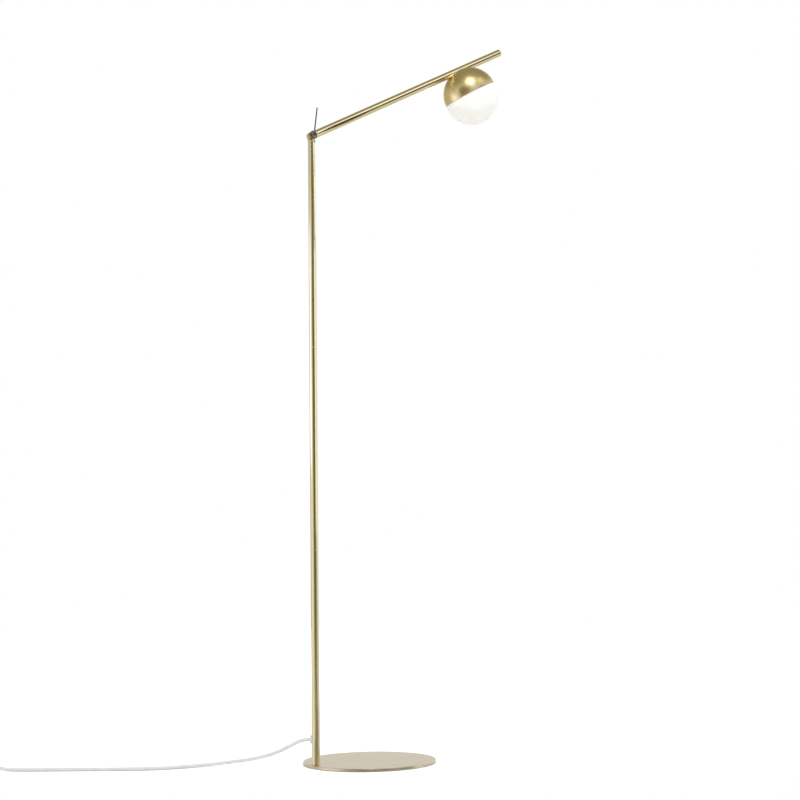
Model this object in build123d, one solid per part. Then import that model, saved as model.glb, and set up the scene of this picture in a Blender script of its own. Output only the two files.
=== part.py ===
from build123d import *
import math
import os

# Floor lamp: a round base, a three-part pole near its rim, a tilting arm and a ball head.
# Millimetres and degrees. +Z is up, the arm leans over +X, and the origin is on the floor
# under the centre of the base.

# Tube of the pole and of the arm
TUBE_D = 15.0
TUBE_WALL = 1.0
TUBE_R = TUBE_D / 2
BORE_R = TUBE_R - TUBE_WALL

# Room between pieces
PRESS_GAP = 0.05
RUN_GAP = 0.05
THREAD_GAP = 0.05
SCREW_ROOM = 0.15
SOFT_GAP = 0.2
SEAT_GAP = 0.05

# Base
BASE_D = 245.0
BASE_T = 4.5
BASE_EDGE = 0.7
PAD_T = 1.0
PAD_INSET = 4.0
POLE_TO_CENTRE = 110.5
BASE_SCREW_D = 8.0
BASE_SCREW_HEAD_D = 16.0
BASE_SCREW_HEAD_T = 2.4
BASE_SCREW_GRIP = 16.0
FOOT_PLUG_L = 24.0

# Pole
LOWER_TUBE_L = 385.0
MIDDLE_TUBE_L = 380.0
UPPER_TUBE_L = 407.5
BUSH_L = 18.0
NIPPLE_D = 10.0
NIPPLE_BORE = 6.4
NIPPLE_GRIP = 15.0

# Hinge
HINGE_TO_TUBE = 12.0
KNUCKLE_NECK = 10.5
KNUCKLE_D = 16.0
KNUCKLE_EDGE = 0.5
SHANK_L = 22.0
LAP_GAP = 0.5
POCKET_R = 6.2
POCKET_DEPTH = 5.6
BOSS_R = 3.7
WIREWAY_D = 4.6
FRICTION_RING_IN = 6.5
FRICTION_RING_OUT = 7.8
CLAMP_SCREW_D = 5.0
CLAMP_SCREW_TIP = 1.0
CLAMP_WASHER_D = 16.4
CLAMP_WASHER_T = 0.8
HUB_D = 9.6
HUB_L = 4.4
HUB_EDGE = 0.5
HUB_DISH_D = 6.0
HUB_DISH_DEPTH = 0.6
LEVER_D = 2.5
LEVER_REACH = 56.0
LEVER_SEAT = 2.2
LEVER_LEAN = 7.0
LEVER_TIP = 0.9

# Arm
ARM_TILT = 30.3
ARM_TUBE_L = 508.0
END_CAP_T = 2.0
END_CAP_EDGE = 0.6
END_SPIGOT_L = 8.0
HEAD_FROM_END = 120.0
INSERT_L = 36.0
INSERT_TOP = 1.2

# Head
BALL_D = 112.0
HEAD_DROP = 54.5
CAP_WALL = 1.2
SADDLE_GAP = 0.1
SEAT_L = 34.0
SEAT_W = 12.0
SEAT_Z = 43.5
HEAD_SCREW_D = 4.0
HEAD_SCREW_HEAD_D = 7.0
HEAD_SCREW_HEAD_T = 2.5
HEAD_SCREW_SPREAD = 22.0
HEAD_SCREW_L = 10.5
WIRE_SLOT_BACK = 6.5
WIRE_SLOT_FRONT = 2.7
BRACKET_T = 1.2
BRACKET_INSIDE = 30.0
BRACKET_DROP = 20.0
HOLDER_GAP = 3.8
HOLDER_L = 29.6
HOLDER_W = 17.0
HOLDER_H = 23.5
HOLDER_CORNER = 3.0
HOLDER_SCREW_D = 3.0
HOLDER_SCREW_L = 7.0
HOLDER_SCREW_HEAD_D = 5.5
HOLDER_SCREW_HEAD_T = 1.8
HOLDER_SCREW_DROP = 14.5

# Bulb
BULB_D = 15.5
BULB_BASE_H = 13.0
BULB_COVER_L = 33.0
BULB_COVER_WALL = 1.0
BULB_PIN_D = 1.6
BULB_PIN_SPREAD = 9.0
BULB_PIN_OUT = 13.0
BULB_PIN_IN = 8.0
BOARD_W = 9.0
BOARD_T = 1.2
BOARD_L = 23.0

# Glass
GLASS_BAND = 8.0
GLASS_WALL = 3.0
RIM_GAP = 0.4
NECK_R = 49.0
NECK_WALL = 3.0
NECK_H = 9.0
NECK_GAP = 0.4
GASKET_IN = 49.4
GASKET_OUT = 52.6
GASKET_T = 0.9
RING_GAP = 0.1
RING_H = 9.0

# Cord, gland and inner cable
CORD_D = 6.0
CORD_HEADING = 149.4
GLAND_Z = 50.5
GLAND_TALL = 13.5
GLAND_WIDE = 8.4
GLAND_PROUD = 2.4
GLAND_SPIGOT_D = 7.8
GLAND_SPIGOT_IN = 1.0
INNER_CABLE_D = 4.0
INNER_BEND = 6.0

# In-line switch
SWITCH_FROM_POLE = 625.0
SWITCH_BESIDE = -24.0
SWITCH_L = 60.0
SWITCH_W = 26.0
SWITCH_WALL = 2.0
SWITCH_CORNER = 8.0
SWITCH_EDGE = 2.0
SWITCH_ENTRY = 4.0
ROCKER_L = 18.6
ROCKER_W = 11.2
ROCKER_BELOW = 1.2
ROCKER_PROUD = 1.6
ROCKER_DISH = 0.9
ROCKER_TILT = 8.0
ROCKER_ROOM = 0.5
ROCKER_PIVOT_DOWN = 5.0
PIN_D = 2.0
PIN_HOLD = 1.0
CONTACT_L = 12.0
CONTACT_W = 4.0
CONTACT_T = 0.8
CONTACT_SPREAD = 12.0
SWITCH_SCREW_D = 2.5
SWITCH_SCREW_HEAD_D = 4.6
SWITCH_SCREW_HEAD_T = 1.6
SWITCH_SCREW_SPREAD = 40.0
SWITCH_POST_D = 6.0

# Coil of the put-away length, its tie and the plug
COIL_INSIDE_R = 25.2
COIL_TURNS = 3
COIL_PITCH = 7.2
COIL_STEP = 6.8
COIL_BEYOND_SWITCH = 40.0
COIL_LEAST_GAP = 0.4
TIE_T = 0.6
TIE_W = 6.0
TIE_GAP = 0.4
TIE_CORNER = 3.0
PLUG_RISE_RUN = 24.0
PLUG_T = 14.0
PLUG_W = 27.0
PLUG_L = 32.0
PLUG_CORNER = 5.0
PLUG_EDGE = 2.5
BOOT_L = 20.0
BOOT_D_CORD = 7.6
BOOT_D_PLUG = 10.0
BOOT_ENTRY = 6.0
PLUG_PIN_D = 4.0
PLUG_PIN_L = 19.0
PLUG_PIN_SPREAD = 18.6
PLUG_PIN_ROOT = 8.0

# Heights and frames that the pieces share
POLE_X = -POLE_TO_CENTRE
BASE_TOP = PAD_T + BASE_T
LOWER_TOP = BASE_TOP + LOWER_TUBE_L
MIDDLE_TOP = LOWER_TOP + MIDDLE_TUBE_L
UPPER_TOP = MIDDLE_TOP + UPPER_TUBE_L
HINGE_Z = UPPER_TOP + HINGE_TO_TUBE
HINGE = Vector(POLE_X, 0, HINGE_Z)
TILT = math.radians(ARM_TILT)
ARM_END = HINGE_TO_TUBE + ARM_TUBE_L
HEAD_FROM_HINGE = ARM_END - HEAD_FROM_END
ARM_DIR = Vector(math.cos(TILT), 0, math.sin(TILT))
ARM_UP = Vector(-math.sin(TILT), 0, math.cos(TILT))
HEADING = math.radians(CORD_HEADING)
BALL_R = BALL_D / 2
CORD_R = CORD_D / 2
COIL_LOW = TIE_T + TIE_GAP + CORD_R
COIL_HIGH = COIL_LOW + COIL_STEP
SWITCH_AXIS = COIL_HIGH

# Pole frame: origin on the floor. Arm frame: X along the arm, Y up from it, Z to the front.
# Head frame: Z towards the arm, origin at the cap's centre. Cord frame: X along the cord.
POLE = Pos(POLE_X, 0, 0)
POLE_END = Plane(origin=HINGE, x_dir=(0, 0, -1), z_dir=(0, 1, 0))
CLAMP = Plane(origin=HINGE, x_dir=(1, 0, 0), z_dir=(0, -1, 0))
ARM = Plane(origin=HINGE, x_dir=ARM_DIR, z_dir=(0, -1, 0))
HEAD = Plane(origin=HINGE + ARM_DIR * HEAD_FROM_HINGE - ARM_UP * HEAD_DROP, x_dir=ARM_DIR, z_dir=ARM_UP)
FLOOR = Plane(origin=(POLE_X, 0, 0), x_dir=(math.cos(HEADING), math.sin(HEADING), 0), z_dir=(0, 0, 1))
FROM_END = (Align.CENTER, Align.CENTER, Align.MIN)

NODES = {}


def bar_x(x0, x1, radius, y=0, z=0):
    """A round bar along X."""
    return Pos(x0, y, z) * Rot(0, 90, 0) * Cylinder(radius, x1 - x0, align=FROM_END)


def bar_y(y0, y1, radius, x=0, z=0):
    """A round bar along Y."""
    return Pos(x, y0, z) * Rot(-90, 0, 0) * Cylinder(radius, y1 - y0, align=FROM_END)


def bar_z(z0, z1, radius, x=0, y=0):
    """A round bar along Z."""
    return Pos(x, y, z0) * Cylinder(radius, z1 - z0, align=FROM_END)


def block(x0, x1, y0, y1, z0, z1):
    """A box between two corners."""
    middle = Pos((x0 + x1) / 2, (y0 + y1) / 2, (z0 + z1) / 2)
    return middle * Box(x1 - x0, y1 - y0, z1 - z0)


def ring_z(z0, z1, outer, inner):
    """A flat ring about Z."""
    return bar_z(z0, z1, outer) - bar_z(z0, z1, inner)


def several(solids):
    """Like pieces kept as separate solids of one node."""
    return Compound(children=list(solids))


def route_path(points, label):
    """Straight runs joined by arcs as large as the runs allow, with the radii printed."""
    runs = [Vector(*b) - Vector(*a) for a, b in zip(points, points[1:])]
    radii = []
    for before, after in zip(runs, runs[1:]):
        half_turn = math.radians(before.get_angle(after)) / 2
        radii.append(0.45 * min(before.length, after.length) / math.tan(half_turn))
    print(label, "bend radii", [round(r) for r in radii])
    return FilletPolyline(*points, radius=radii)


def tube_along(path, radius, label):
    """A round tube swept along a path, with its volume set against section times length."""
    section = Plane(origin=path @ 0, z_dir=path % 0) * Circle(radius)
    solid = sweep(section, path=path)
    share = solid.volume / (math.pi * radius**2 * path.length)
    print(label, "length", round(path.length, 1), "volume share", round(share, 4))
    return solid


# Base: a turned steel disc on a foam pad, with the pole screwed on from below
def base_plate():
    plate = bar_z(PAD_T, BASE_TOP, BASE_D / 2)
    plate = fillet(plate.edges().group_by(Axis.Z)[-1], BASE_EDGE)
    plate -= POLE * bar_z(PAD_T, BASE_TOP, BASE_SCREW_D / 2 + SCREW_ROOM)
    sunk = PAD_T + BASE_SCREW_HEAD_T
    return plate - POLE * bar_z(PAD_T, sunk, BASE_SCREW_HEAD_D / 2 + SCREW_ROOM)


def base_pad():
    pad = bar_z(0, PAD_T, BASE_D / 2 - PAD_INSET)
    hole = POLE * bar_z(0, PAD_T, BASE_SCREW_HEAD_D / 2 + SCREW_ROOM)
    reach = block(POLE_X - BASE_D, POLE_X, -BASE_SCREW_HEAD_D / 2, BASE_SCREW_HEAD_D / 2, 0, PAD_T)
    return pad - hole - reach


def base_screw():
    seat = PAD_T + BASE_SCREW_HEAD_T
    head = bar_z(PAD_T, seat, BASE_SCREW_HEAD_D / 2)
    return POLE * (head + bar_z(seat, BASE_TOP + BASE_SCREW_GRIP, BASE_SCREW_D / 2))


def foot_plug():
    plug = bar_z(BASE_TOP, BASE_TOP + FOOT_PLUG_L, BORE_R - PRESS_GAP)
    return POLE * (plug - bar_z(BASE_TOP, BASE_TOP + FOOT_PLUG_L, BASE_SCREW_D / 2 + THREAD_GAP))


# Pole: three tubes, with a threaded bush in each inner end and a hollow nipple in each joint
def pole_tube(z0, z1):
    return POLE * ring_z(z0, z1, TUBE_R, BORE_R)


def gland_bar(from_axis, to_axis, radius):
    """A round bar along the cord's exit, measured from the pole's axis."""
    return FLOOR * bar_x(from_axis, to_axis, radius, z=GLAND_Z)


def lower_tube():
    hole = gland_bar(0, TUBE_D, GLAND_SPIGOT_D / 2 + PRESS_GAP)
    return pole_tube(BASE_TOP, LOWER_TOP) - hole


def tube_bush(z0, z1):
    return POLE * ring_z(z0, z1, BORE_R - PRESS_GAP, NIPPLE_D / 2 + THREAD_GAP)


def joint_nipple(seam):
    return POLE * ring_z(seam - NIPPLE_GRIP, seam + NIPPLE_GRIP, NIPPLE_D / 2, NIPPLE_BORE / 2)


# Gland: a moulded oval bushing with a spigot through the tube's wall
def cord_gland():
    flange = SlotOverall(GLAND_TALL, GLAND_WIDE)
    face = Plane(origin=(0, 0, GLAND_Z), x_dir=(0, 0, 1), z_dir=(1, 0, 0)) * flange
    body = FLOOR * extrude(face, TUBE_R + GLAND_PROUD)
    body = fillet(body.edges().sort_by(lambda e: (e.center() - Vector(POLE_X, 0, GLAND_Z)).length)[-4:], 0.8)
    body -= POLE * bar_z(0, LOWER_TOP, TUBE_R + PRESS_GAP)
    body += gland_bar(BORE_R - GLAND_SPIGOT_IN, TUBE_R + GLAND_PROUD / 2, GLAND_SPIGOT_D / 2)
    return body - gland_bar(0, TUBE_D + GLAND_PROUD, CORD_R + SOFT_GAP)


# Cables inside the pole and the arm
def pole_cable():
    start = BORE_R - GLAND_SPIGOT_IN - SOFT_GAP
    bend = Vector(math.cos(HEADING), math.sin(HEADING), 0)
    offset = LAP_GAP / 2 + POCKET_DEPTH / 2
    foot = Vector(POLE_X, 0, GLAND_Z) + bend * start
    axis = foot - bend * INNER_BEND
    top = HINGE_Z - BOSS_R - SEAT_GAP
    sway = HINGE_Z - HINGE_TO_TUBE - SHANK_L
    line = TangentArc(foot, axis + Vector(0, 0, INNER_BEND), tangent=-bend)
    rise = FilletPolyline(
        axis + Vector(0, 0, INNER_BEND),
        (POLE_X, 0, LOWER_TOP),
        (POLE_X, 0, sway - 3 * SHANK_L),
        (POLE_X, offset, sway - SHANK_L),
        (POLE_X, offset, top),
        radius=[LOWER_TUBE_L, SHANK_L, SHANK_L],
    )
    return tube_along(Wire(line.edges() + rise.edges()), INNER_CABLE_D / 2, "pole cable")


def arm_cable():
    offset = LAP_GAP / 2 + POCKET_DEPTH / 2
    sway = HINGE_TO_TUBE + SHANK_L
    over = INNER_CABLE_D / 2 - INSERT_TOP + SOFT_GAP
    drop = HEAD_DROP - SEAT_Z + BRACKET_T + HOLDER_GAP
    path = FilletPolyline(
        (BOSS_R + SEAT_GAP, 0, offset),
        (sway + SHANK_L, 0, offset),
        (sway + 3 * SHANK_L, over, 0),
        (HEAD_FROM_HINGE, over, 0),
        (HEAD_FROM_HINGE, -drop, 0),
        radius=[SHANK_L, SHANK_L, INNER_BEND],
    )
    return ARM * tube_along(path, INNER_CABLE_D / 2, "arm cable")


# Hinge: two alike knuckles that lap by half, held by the clamp screw
def knuckle():
    """Along X from the hinge axis to the end of its shank, with its half of the lap on the Z side."""
    lap = LAP_GAP / 2
    disc = bar_z(lap, TUBE_R, KNUCKLE_D / 2)
    disc = fillet(disc.edges().group_by(Axis.Z)[-1], KNUCKLE_EDGE)
    web = bar_x(0, KNUCKLE_NECK, TUBE_R) & block(0, KNUCKLE_NECK, -TUBE_R, TUBE_R, lap, TUBE_R)
    collar = bar_x(KNUCKLE_NECK, HINGE_TO_TUBE, TUBE_R)
    shank_end = HINGE_TO_TUBE + SHANK_L
    shank = bar_x(HINGE_TO_TUBE, shank_end, BORE_R - PRESS_GAP)
    pocket = ring_z(lap, lap + POCKET_DEPTH, POCKET_R, BOSS_R)
    wireway = bar_x(BOSS_R, shank_end, WIREWAY_D / 2, z=lap + POCKET_DEPTH / 2)
    return disc + web + collar + shank - pocket - wireway - bar_z(0, TUBE_R, CLAMP_SCREW_D / 2 + RUN_GAP)


def friction_washer():
    half = LAP_GAP / 2 - SEAT_GAP
    return CLAMP * ring_z(-half, half, FRICTION_RING_OUT, FRICTION_RING_IN)


WASHER_Z = TUBE_R + SEAT_GAP
HUB_Z = WASHER_Z + CLAMP_WASHER_T + SEAT_GAP
LEVER_Z = HUB_Z + HUB_L / 2


def clamp_washer():
    hole = CLAMP_SCREW_D / 2 + SCREW_ROOM
    return CLAMP * ring_z(WASHER_Z, WASHER_Z + CLAMP_WASHER_T, CLAMP_WASHER_D / 2, hole)


def lever_bar(r0, r1, radius):
    """A round bar out from the hinge axis along the lever."""
    lean = math.radians(LEVER_LEAN)
    out = Vector(math.sin(lean), math.cos(lean), 0)
    return Plane(origin=out * r0 + Vector(0, 0, LEVER_Z), z_dir=out) * bar_z(0, r1 - r0, radius)


def clamp_screw():
    hub = bar_z(HUB_Z, HUB_Z + HUB_L, HUB_D / 2)
    hub = fillet(hub.edges().group_by(Axis.Z)[-1], HUB_EDGE)
    hub -= bar_z(HUB_Z + HUB_L - HUB_DISH_DEPTH, HUB_Z + HUB_L, HUB_DISH_D / 2)
    stud = bar_z(CLAMP_SCREW_TIP - TUBE_R, HUB_Z, CLAMP_SCREW_D / 2)
    return CLAMP * (hub + stud - lever_bar(LEVER_SEAT, HUB_D, LEVER_D / 2 + PRESS_GAP))


def lever_rod():
    rod = lever_bar(LEVER_SEAT, LEVER_REACH, LEVER_D / 2)
    return CLAMP * fillet(rod.edges().sort_by(Axis.Y)[-1], LEVER_TIP)


# Arm: one tube, closed at its tip, with a threaded bar inside it over the head
def head_screw_bars(z0, z1, radius):
    """Round bars on the two head screws, in the head's frame."""
    return [bar_z(z0, z1, radius, x=side * HEAD_SCREW_SPREAD / 2) for side in (-1, 1)]


def wire_slot(z0, z1):
    """The way through for the wires, in the head's frame."""
    half = INNER_CABLE_D / 2 + SOFT_GAP
    return block(-WIRE_SLOT_BACK, WIRE_SLOT_FRONT, -half, half, z0, z1)


def arm_tube():
    tube = bar_x(HINGE_TO_TUBE, ARM_END, TUBE_R) - bar_x(HINGE_TO_TUBE, ARM_END, BORE_R)
    holes = head_screw_bars(HEAD_DROP - TUBE_D, HEAD_DROP, HEAD_SCREW_D / 2 + SCREW_ROOM)
    return ARM * tube - HEAD * several(holes) - HEAD * wire_slot(HEAD_DROP - TUBE_D, HEAD_DROP)


def arm_end_cap():
    disc = bar_x(ARM_END, ARM_END + END_CAP_T, TUBE_R)
    disc = fillet(disc.edges().group_by(Axis.X)[-1], END_CAP_EDGE)
    return ARM * (disc + bar_x(ARM_END - END_SPIGOT_L, ARM_END, BORE_R - PRESS_GAP))


def arm_insert():
    half = INSERT_L / 2
    whole = bar_x(-half, half, BORE_R - PRESS_GAP, z=HEAD_DROP)
    low = block(-half, half, -BORE_R, BORE_R, HEAD_DROP - BORE_R, HEAD_DROP - INSERT_TOP)
    holes = head_screw_bars(HEAD_DROP - TUBE_R, HEAD_DROP, HEAD_SCREW_D / 2 + THREAD_GAP)
    return HEAD * ((whole & low) - several(holes) - wire_slot(HEAD_DROP - TUBE_R, HEAD_DROP))


# Head: a spun half-ball cap, grooved to sit half round the arm
def head_cap():
    inner_r = BALL_R - CAP_WALL
    groove_r = TUBE_R + SADDLE_GAP
    upper = block(-BALL_R, BALL_R, -BALL_R, BALL_R, 0, BALL_R)
    outside = (Sphere(BALL_R) & upper) - bar_x(-BALL_R, BALL_R, groove_r, z=HEAD_DROP)
    inside = (Sphere(inner_r) & upper) - bar_x(-BALL_R, BALL_R, groove_r + CAP_WALL, z=HEAD_DROP)
    saddle = HEAD_DROP - groove_r
    seat = block(-SEAT_L / 2, SEAT_L / 2, -SEAT_W / 2, SEAT_W / 2, SEAT_Z, saddle)
    cap = outside - inside + seat
    holes = head_screw_bars(SEAT_Z, HEAD_DROP, HEAD_SCREW_D / 2 + SCREW_ROOM)
    return HEAD * (cap - several(holes) - wire_slot(SEAT_Z, HEAD_DROP))


BRACKET_Z = SEAT_Z - BRACKET_T
HOLDER_TOP = SEAT_Z - BRACKET_T - HOLDER_GAP
HOLDER_LOW = HOLDER_TOP - HOLDER_H
SIDE_SCREW_Z = SEAT_Z - HOLDER_SCREW_DROP


def head_screws():
    heads = head_screw_bars(BRACKET_Z - HEAD_SCREW_HEAD_T, BRACKET_Z, HEAD_SCREW_HEAD_D / 2)
    shanks = head_screw_bars(BRACKET_Z, BRACKET_Z + HEAD_SCREW_L, HEAD_SCREW_D / 2)
    return HEAD * several([head + shank for head, shank in zip(heads, shanks)])


def side_screw_bars(x0, x1, radius):
    """Round bars on the two screws through the bracket's legs."""
    return [bar_x(x0, x1, radius, z=SIDE_SCREW_Z), bar_x(-x1, -x0, radius, z=SIDE_SCREW_Z)]


def holder_bracket():
    inside = BRACKET_INSIDE / 2
    outside = inside + BRACKET_T
    half_w = SEAT_W / 2
    whole = block(-outside, outside, -half_w, half_w, SEAT_Z - BRACKET_DROP, SEAT_Z)
    strap = whole - block(-inside, inside, -half_w, half_w, SEAT_Z - BRACKET_DROP, BRACKET_Z)
    strap -= several(head_screw_bars(BRACKET_Z, SEAT_Z, HEAD_SCREW_D / 2 + SCREW_ROOM))
    strap -= several(side_screw_bars(inside, outside, HOLDER_SCREW_D / 2 + SCREW_ROOM))
    return HEAD * (strap - wire_slot(BRACKET_Z, SEAT_Z))


def holder_screws():
    seat = BRACKET_INSIDE / 2 + BRACKET_T
    heads = side_screw_bars(seat, seat + HOLDER_SCREW_HEAD_T, HOLDER_SCREW_HEAD_D / 2)
    shanks = side_screw_bars(seat - HOLDER_SCREW_L, seat, HOLDER_SCREW_D / 2)
    return HEAD * several([head + shank for head, shank in zip(heads, shanks)])


def bulb_pin_bars(z0, z1, radius):
    """Round bars on the bulb's two pins."""
    return [bar_z(z0, z1, radius, x=side * BULB_PIN_SPREAD / 2) for side in (-1, 1)]


def lampholder():
    half_l = HOLDER_L / 2
    half_w = HOLDER_W / 2
    body = block(-half_l, half_l, -half_w, half_w, HOLDER_LOW, HOLDER_TOP)
    body = fillet(body.edges().filter_by(Axis.Z), HOLDER_CORNER)
    room = BULB_PIN_D / 2 + SCREW_ROOM
    body -= several(bulb_pin_bars(HOLDER_LOW, HOLDER_LOW + BULB_PIN_OUT + SEAT_GAP, room))
    screw_in = BRACKET_INSIDE / 2 + BRACKET_T - HOLDER_SCREW_L - SEAT_GAP
    body -= several(side_screw_bars(screw_in, half_l, HOLDER_SCREW_D / 2 + THREAD_GAP))
    return HEAD * body


# Bulb: a plug-in LED capsule
def bulb_base():
    base = bar_z(HOLDER_LOW - BULB_BASE_H, HOLDER_LOW, BULB_D / 2)
    holes = bulb_pin_bars(HOLDER_LOW - BULB_PIN_IN, HOLDER_LOW, BULB_PIN_D / 2 + PRESS_GAP)
    return HEAD * (base - several(holes))


def bulb_pins():
    pins = bulb_pin_bars(HOLDER_LOW - BULB_PIN_IN, HOLDER_LOW + BULB_PIN_OUT, BULB_PIN_D / 2)
    return HEAD * several(pins)


BULB_COVER_TOP = HOLDER_LOW - BULB_BASE_H


def capsule(radius, top, low):
    """A round bar down from top, with a round lower end."""
    return bar_z(low + radius, top, radius) + Pos(0, 0, low + radius) * Sphere(radius)


def bulb_cover():
    low = BULB_COVER_TOP - BULB_COVER_L
    inner = capsule(BULB_D / 2 - BULB_COVER_WALL, BULB_COVER_TOP, low + BULB_COVER_WALL)
    return HEAD * (capsule(BULB_D / 2, BULB_COVER_TOP, low) - inner)


def bulb_board():
    half_w = BOARD_W / 2
    half_t = BOARD_T / 2
    return HEAD * block(-half_w, half_w, -half_t, half_t, BULB_COVER_TOP - BOARD_L, BULB_COVER_TOP)


# Glass: a blown opal half-ball with a straight band and a neck that screws into the ring
def glass_shade():
    inner_r = BALL_R - GLASS_WALL
    slope = math.sqrt(0.5)
    shoulder = -RIM_GAP - GLASS_WALL
    outline = [
        ThreePointArc(
            (0, -GLASS_BAND - BALL_R),
            (BALL_R * slope, -GLASS_BAND - BALL_R * slope),
            (BALL_R, -GLASS_BAND),
        ),
        Polyline(
            (BALL_R, -GLASS_BAND),
            (BALL_R, -RIM_GAP),
            (NECK_R, -RIM_GAP),
            (NECK_R, NECK_H),
            (NECK_R - NECK_WALL, NECK_H),
            (NECK_R - NECK_WALL, shoulder),
            (inner_r, shoulder),
            (inner_r, -GLASS_BAND),
        ),
        ThreePointArc(
            (inner_r, -GLASS_BAND),
            (inner_r * slope, -GLASS_BAND - inner_r * slope),
            (0, -GLASS_BAND - inner_r),
        ),
        Line((0, -GLASS_BAND - inner_r), (0, -GLASS_BAND - BALL_R)),
    ]
    section = Plane.XZ * make_face(Curve() + outline)
    return HEAD * revolve(section, Axis.Z)


def glass_gasket():
    return HEAD * ring_z(-RIM_GAP, GASKET_T - RIM_GAP, GASKET_OUT, GASKET_IN)


def glass_ring():
    low = GASKET_T - RIM_GAP + RING_GAP
    slab = block(-BALL_R, BALL_R, -BALL_R, BALL_R, low, low + RING_H)
    whole = Sphere(BALL_R - CAP_WALL - PRESS_GAP) & slab
    return HEAD * (whole - bar_z(low, low + RING_H, NECK_R + NECK_GAP))


# Free cord: out of the gland, down to the floor and along it, then into the switch.
# X is along the cord's heading from the pole's axis, Y to its left and Z up.
CORD_ROUTE = [
    (6.0, 0.0, GLAND_Z),
    (25.0, 0.0, GLAND_Z),
    (46.0, -6.0, 39.5),
    (66.0, -15.0, 29.0),
    (94.0, -28.0, 18.5),
    (133.0, -41.0, 10.3),
    (186.0, -48.0, 4.2),
    (240.0, -22.0, CORD_R),
    (295.0, -4.0, CORD_R),
    (350.0, -5.0, CORD_R),
    (420.0, -10.0, CORD_R),
    (500.0, -15.0, CORD_R),
    (566.0, -20.0, CORD_R),
    (603.0, SWITCH_BESIDE, SWITCH_AXIS),
    (SWITCH_FROM_POLE + SWITCH_ENTRY, SWITCH_BESIDE, SWITCH_AXIS),
]


def cord_lead():
    return FLOOR * tube_along(route_path(CORD_ROUTE, "cord"), CORD_R, "cord")


# In-line switch: two screwed shells, a rocker on a pin and two contact strips
SWITCH_MID = SWITCH_FROM_POLE + SWITCH_L / 2
SWITCH_TOP = 2 * SWITCH_AXIS
PIVOT_Z = SWITCH_TOP - ROCKER_PIVOT_DOWN
SWITCH = FLOOR * Pos(SWITCH_MID, SWITCH_BESIDE, 0)


def switch_form(inset):
    """The switch's whole outer form, drawn in by an inset."""
    flat = RectangleRounded(SWITCH_L - 2 * inset, SWITCH_W - 2 * inset, SWITCH_CORNER - inset)
    form = Pos(0, 0, inset) * extrude(flat, SWITCH_TOP - 2 * inset)
    ends = form.edges().group_by(Axis.Z)
    return fillet(ends[0] + ends[-1], SWITCH_EDGE - inset / 2)


def switch_screw_bars(z0, z1, radius):
    """Round bars on the two case screws."""
    half = SWITCH_SCREW_SPREAD / 2
    return [bar_z(z0, z1, radius, x=side * half, y=side * SWITCH_W / 4) for side in (-1, 1)]


def switch_shell(low, high):
    """The part of the hollow case between two heights, with its posts and cord holes."""
    keep = block(-SWITCH_L, SWITCH_L, -SWITCH_W, SWITCH_W, low, high)
    posts = several(switch_screw_bars(0, SWITCH_TOP, SWITCH_POST_D / 2)) & switch_form(SWITCH_WALL / 2)
    case = (switch_form(0) - switch_form(SWITCH_WALL) + posts) & keep
    return case - bar_x(-SWITCH_L, SWITCH_L, CORD_R + SOFT_GAP, z=SWITCH_AXIS)


SCREW_SEAT = SWITCH_WALL


def switch_lower_shell():
    shell = switch_shell(0, SWITCH_AXIS)
    shell -= several(switch_screw_bars(0, SCREW_SEAT, SWITCH_SCREW_HEAD_D / 2 + SCREW_ROOM))
    shell -= several(switch_screw_bars(0, SWITCH_AXIS, SWITCH_SCREW_D / 2 + SCREW_ROOM))
    return SWITCH * shell


def switch_upper_shell():
    half_l = ROCKER_L / 2 + 2 * ROCKER_ROOM
    half_w = ROCKER_W / 2 + ROCKER_ROOM
    shell = switch_shell(SWITCH_AXIS, SWITCH_TOP)
    shell -= block(-half_l, half_l, -half_w, half_w, PIVOT_Z, SWITCH_TOP)
    pin_end = SWITCH_W / 2 - SWITCH_WALL + PIN_HOLD
    shell -= bar_y(-pin_end, pin_end, PIN_D / 2 + PRESS_GAP, z=PIVOT_Z)
    top = SWITCH_TOP - 2 * SWITCH_WALL
    shell -= several(switch_screw_bars(SWITCH_AXIS, top, SWITCH_SCREW_D / 2 + THREAD_GAP))
    return SWITCH * shell


def switch_rocker():
    half_l = ROCKER_L / 2
    half_w = ROCKER_W / 2
    top = PIVOT_Z + ROCKER_PIVOT_DOWN + ROCKER_PROUD
    body = block(-half_l, half_l, -half_w, half_w, PIVOT_Z - ROCKER_BELOW, top)
    dish_r = (half_l**2 + ROCKER_DISH**2) / (2 * ROCKER_DISH)
    body -= bar_y(-half_w, half_w, dish_r, z=top + dish_r - ROCKER_DISH)
    body -= bar_y(-half_w, half_w, PIN_D / 2 + RUN_GAP, z=PIVOT_Z)
    tip = Pos(0, 0, PIVOT_Z) * Rot(0, ROCKER_TILT, 0) * Pos(0, 0, -PIVOT_Z)
    return SWITCH * (tip * body)


def switch_pin():
    pin_end = SWITCH_W / 2 - SWITCH_WALL + PIN_HOLD
    return SWITCH * bar_y(-pin_end, pin_end, PIN_D / 2, z=PIVOT_Z)


def switch_contacts():
    half_l = CONTACT_L / 2
    half_w = CONTACT_W / 2
    strip = block(-half_l, half_l, -half_w, half_w, SWITCH_WALL, SWITCH_WALL + CONTACT_T)
    return SWITCH * several([Pos(side * CONTACT_SPREAD / 2 * 1.2, 0, 0) * strip for side in (-1, 1)])


def switch_screws():
    seat = SCREW_SEAT
    heads = switch_screw_bars(seat - SWITCH_SCREW_HEAD_T, seat, SWITCH_SCREW_HEAD_D / 2)
    top = SWITCH_TOP - 2 * SWITCH_WALL - SEAT_GAP
    shanks = switch_screw_bars(seat, top, SWITCH_SCREW_D / 2)
    return SWITCH * several([head + shank for head, shank in zip(heads, shanks)])


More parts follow.
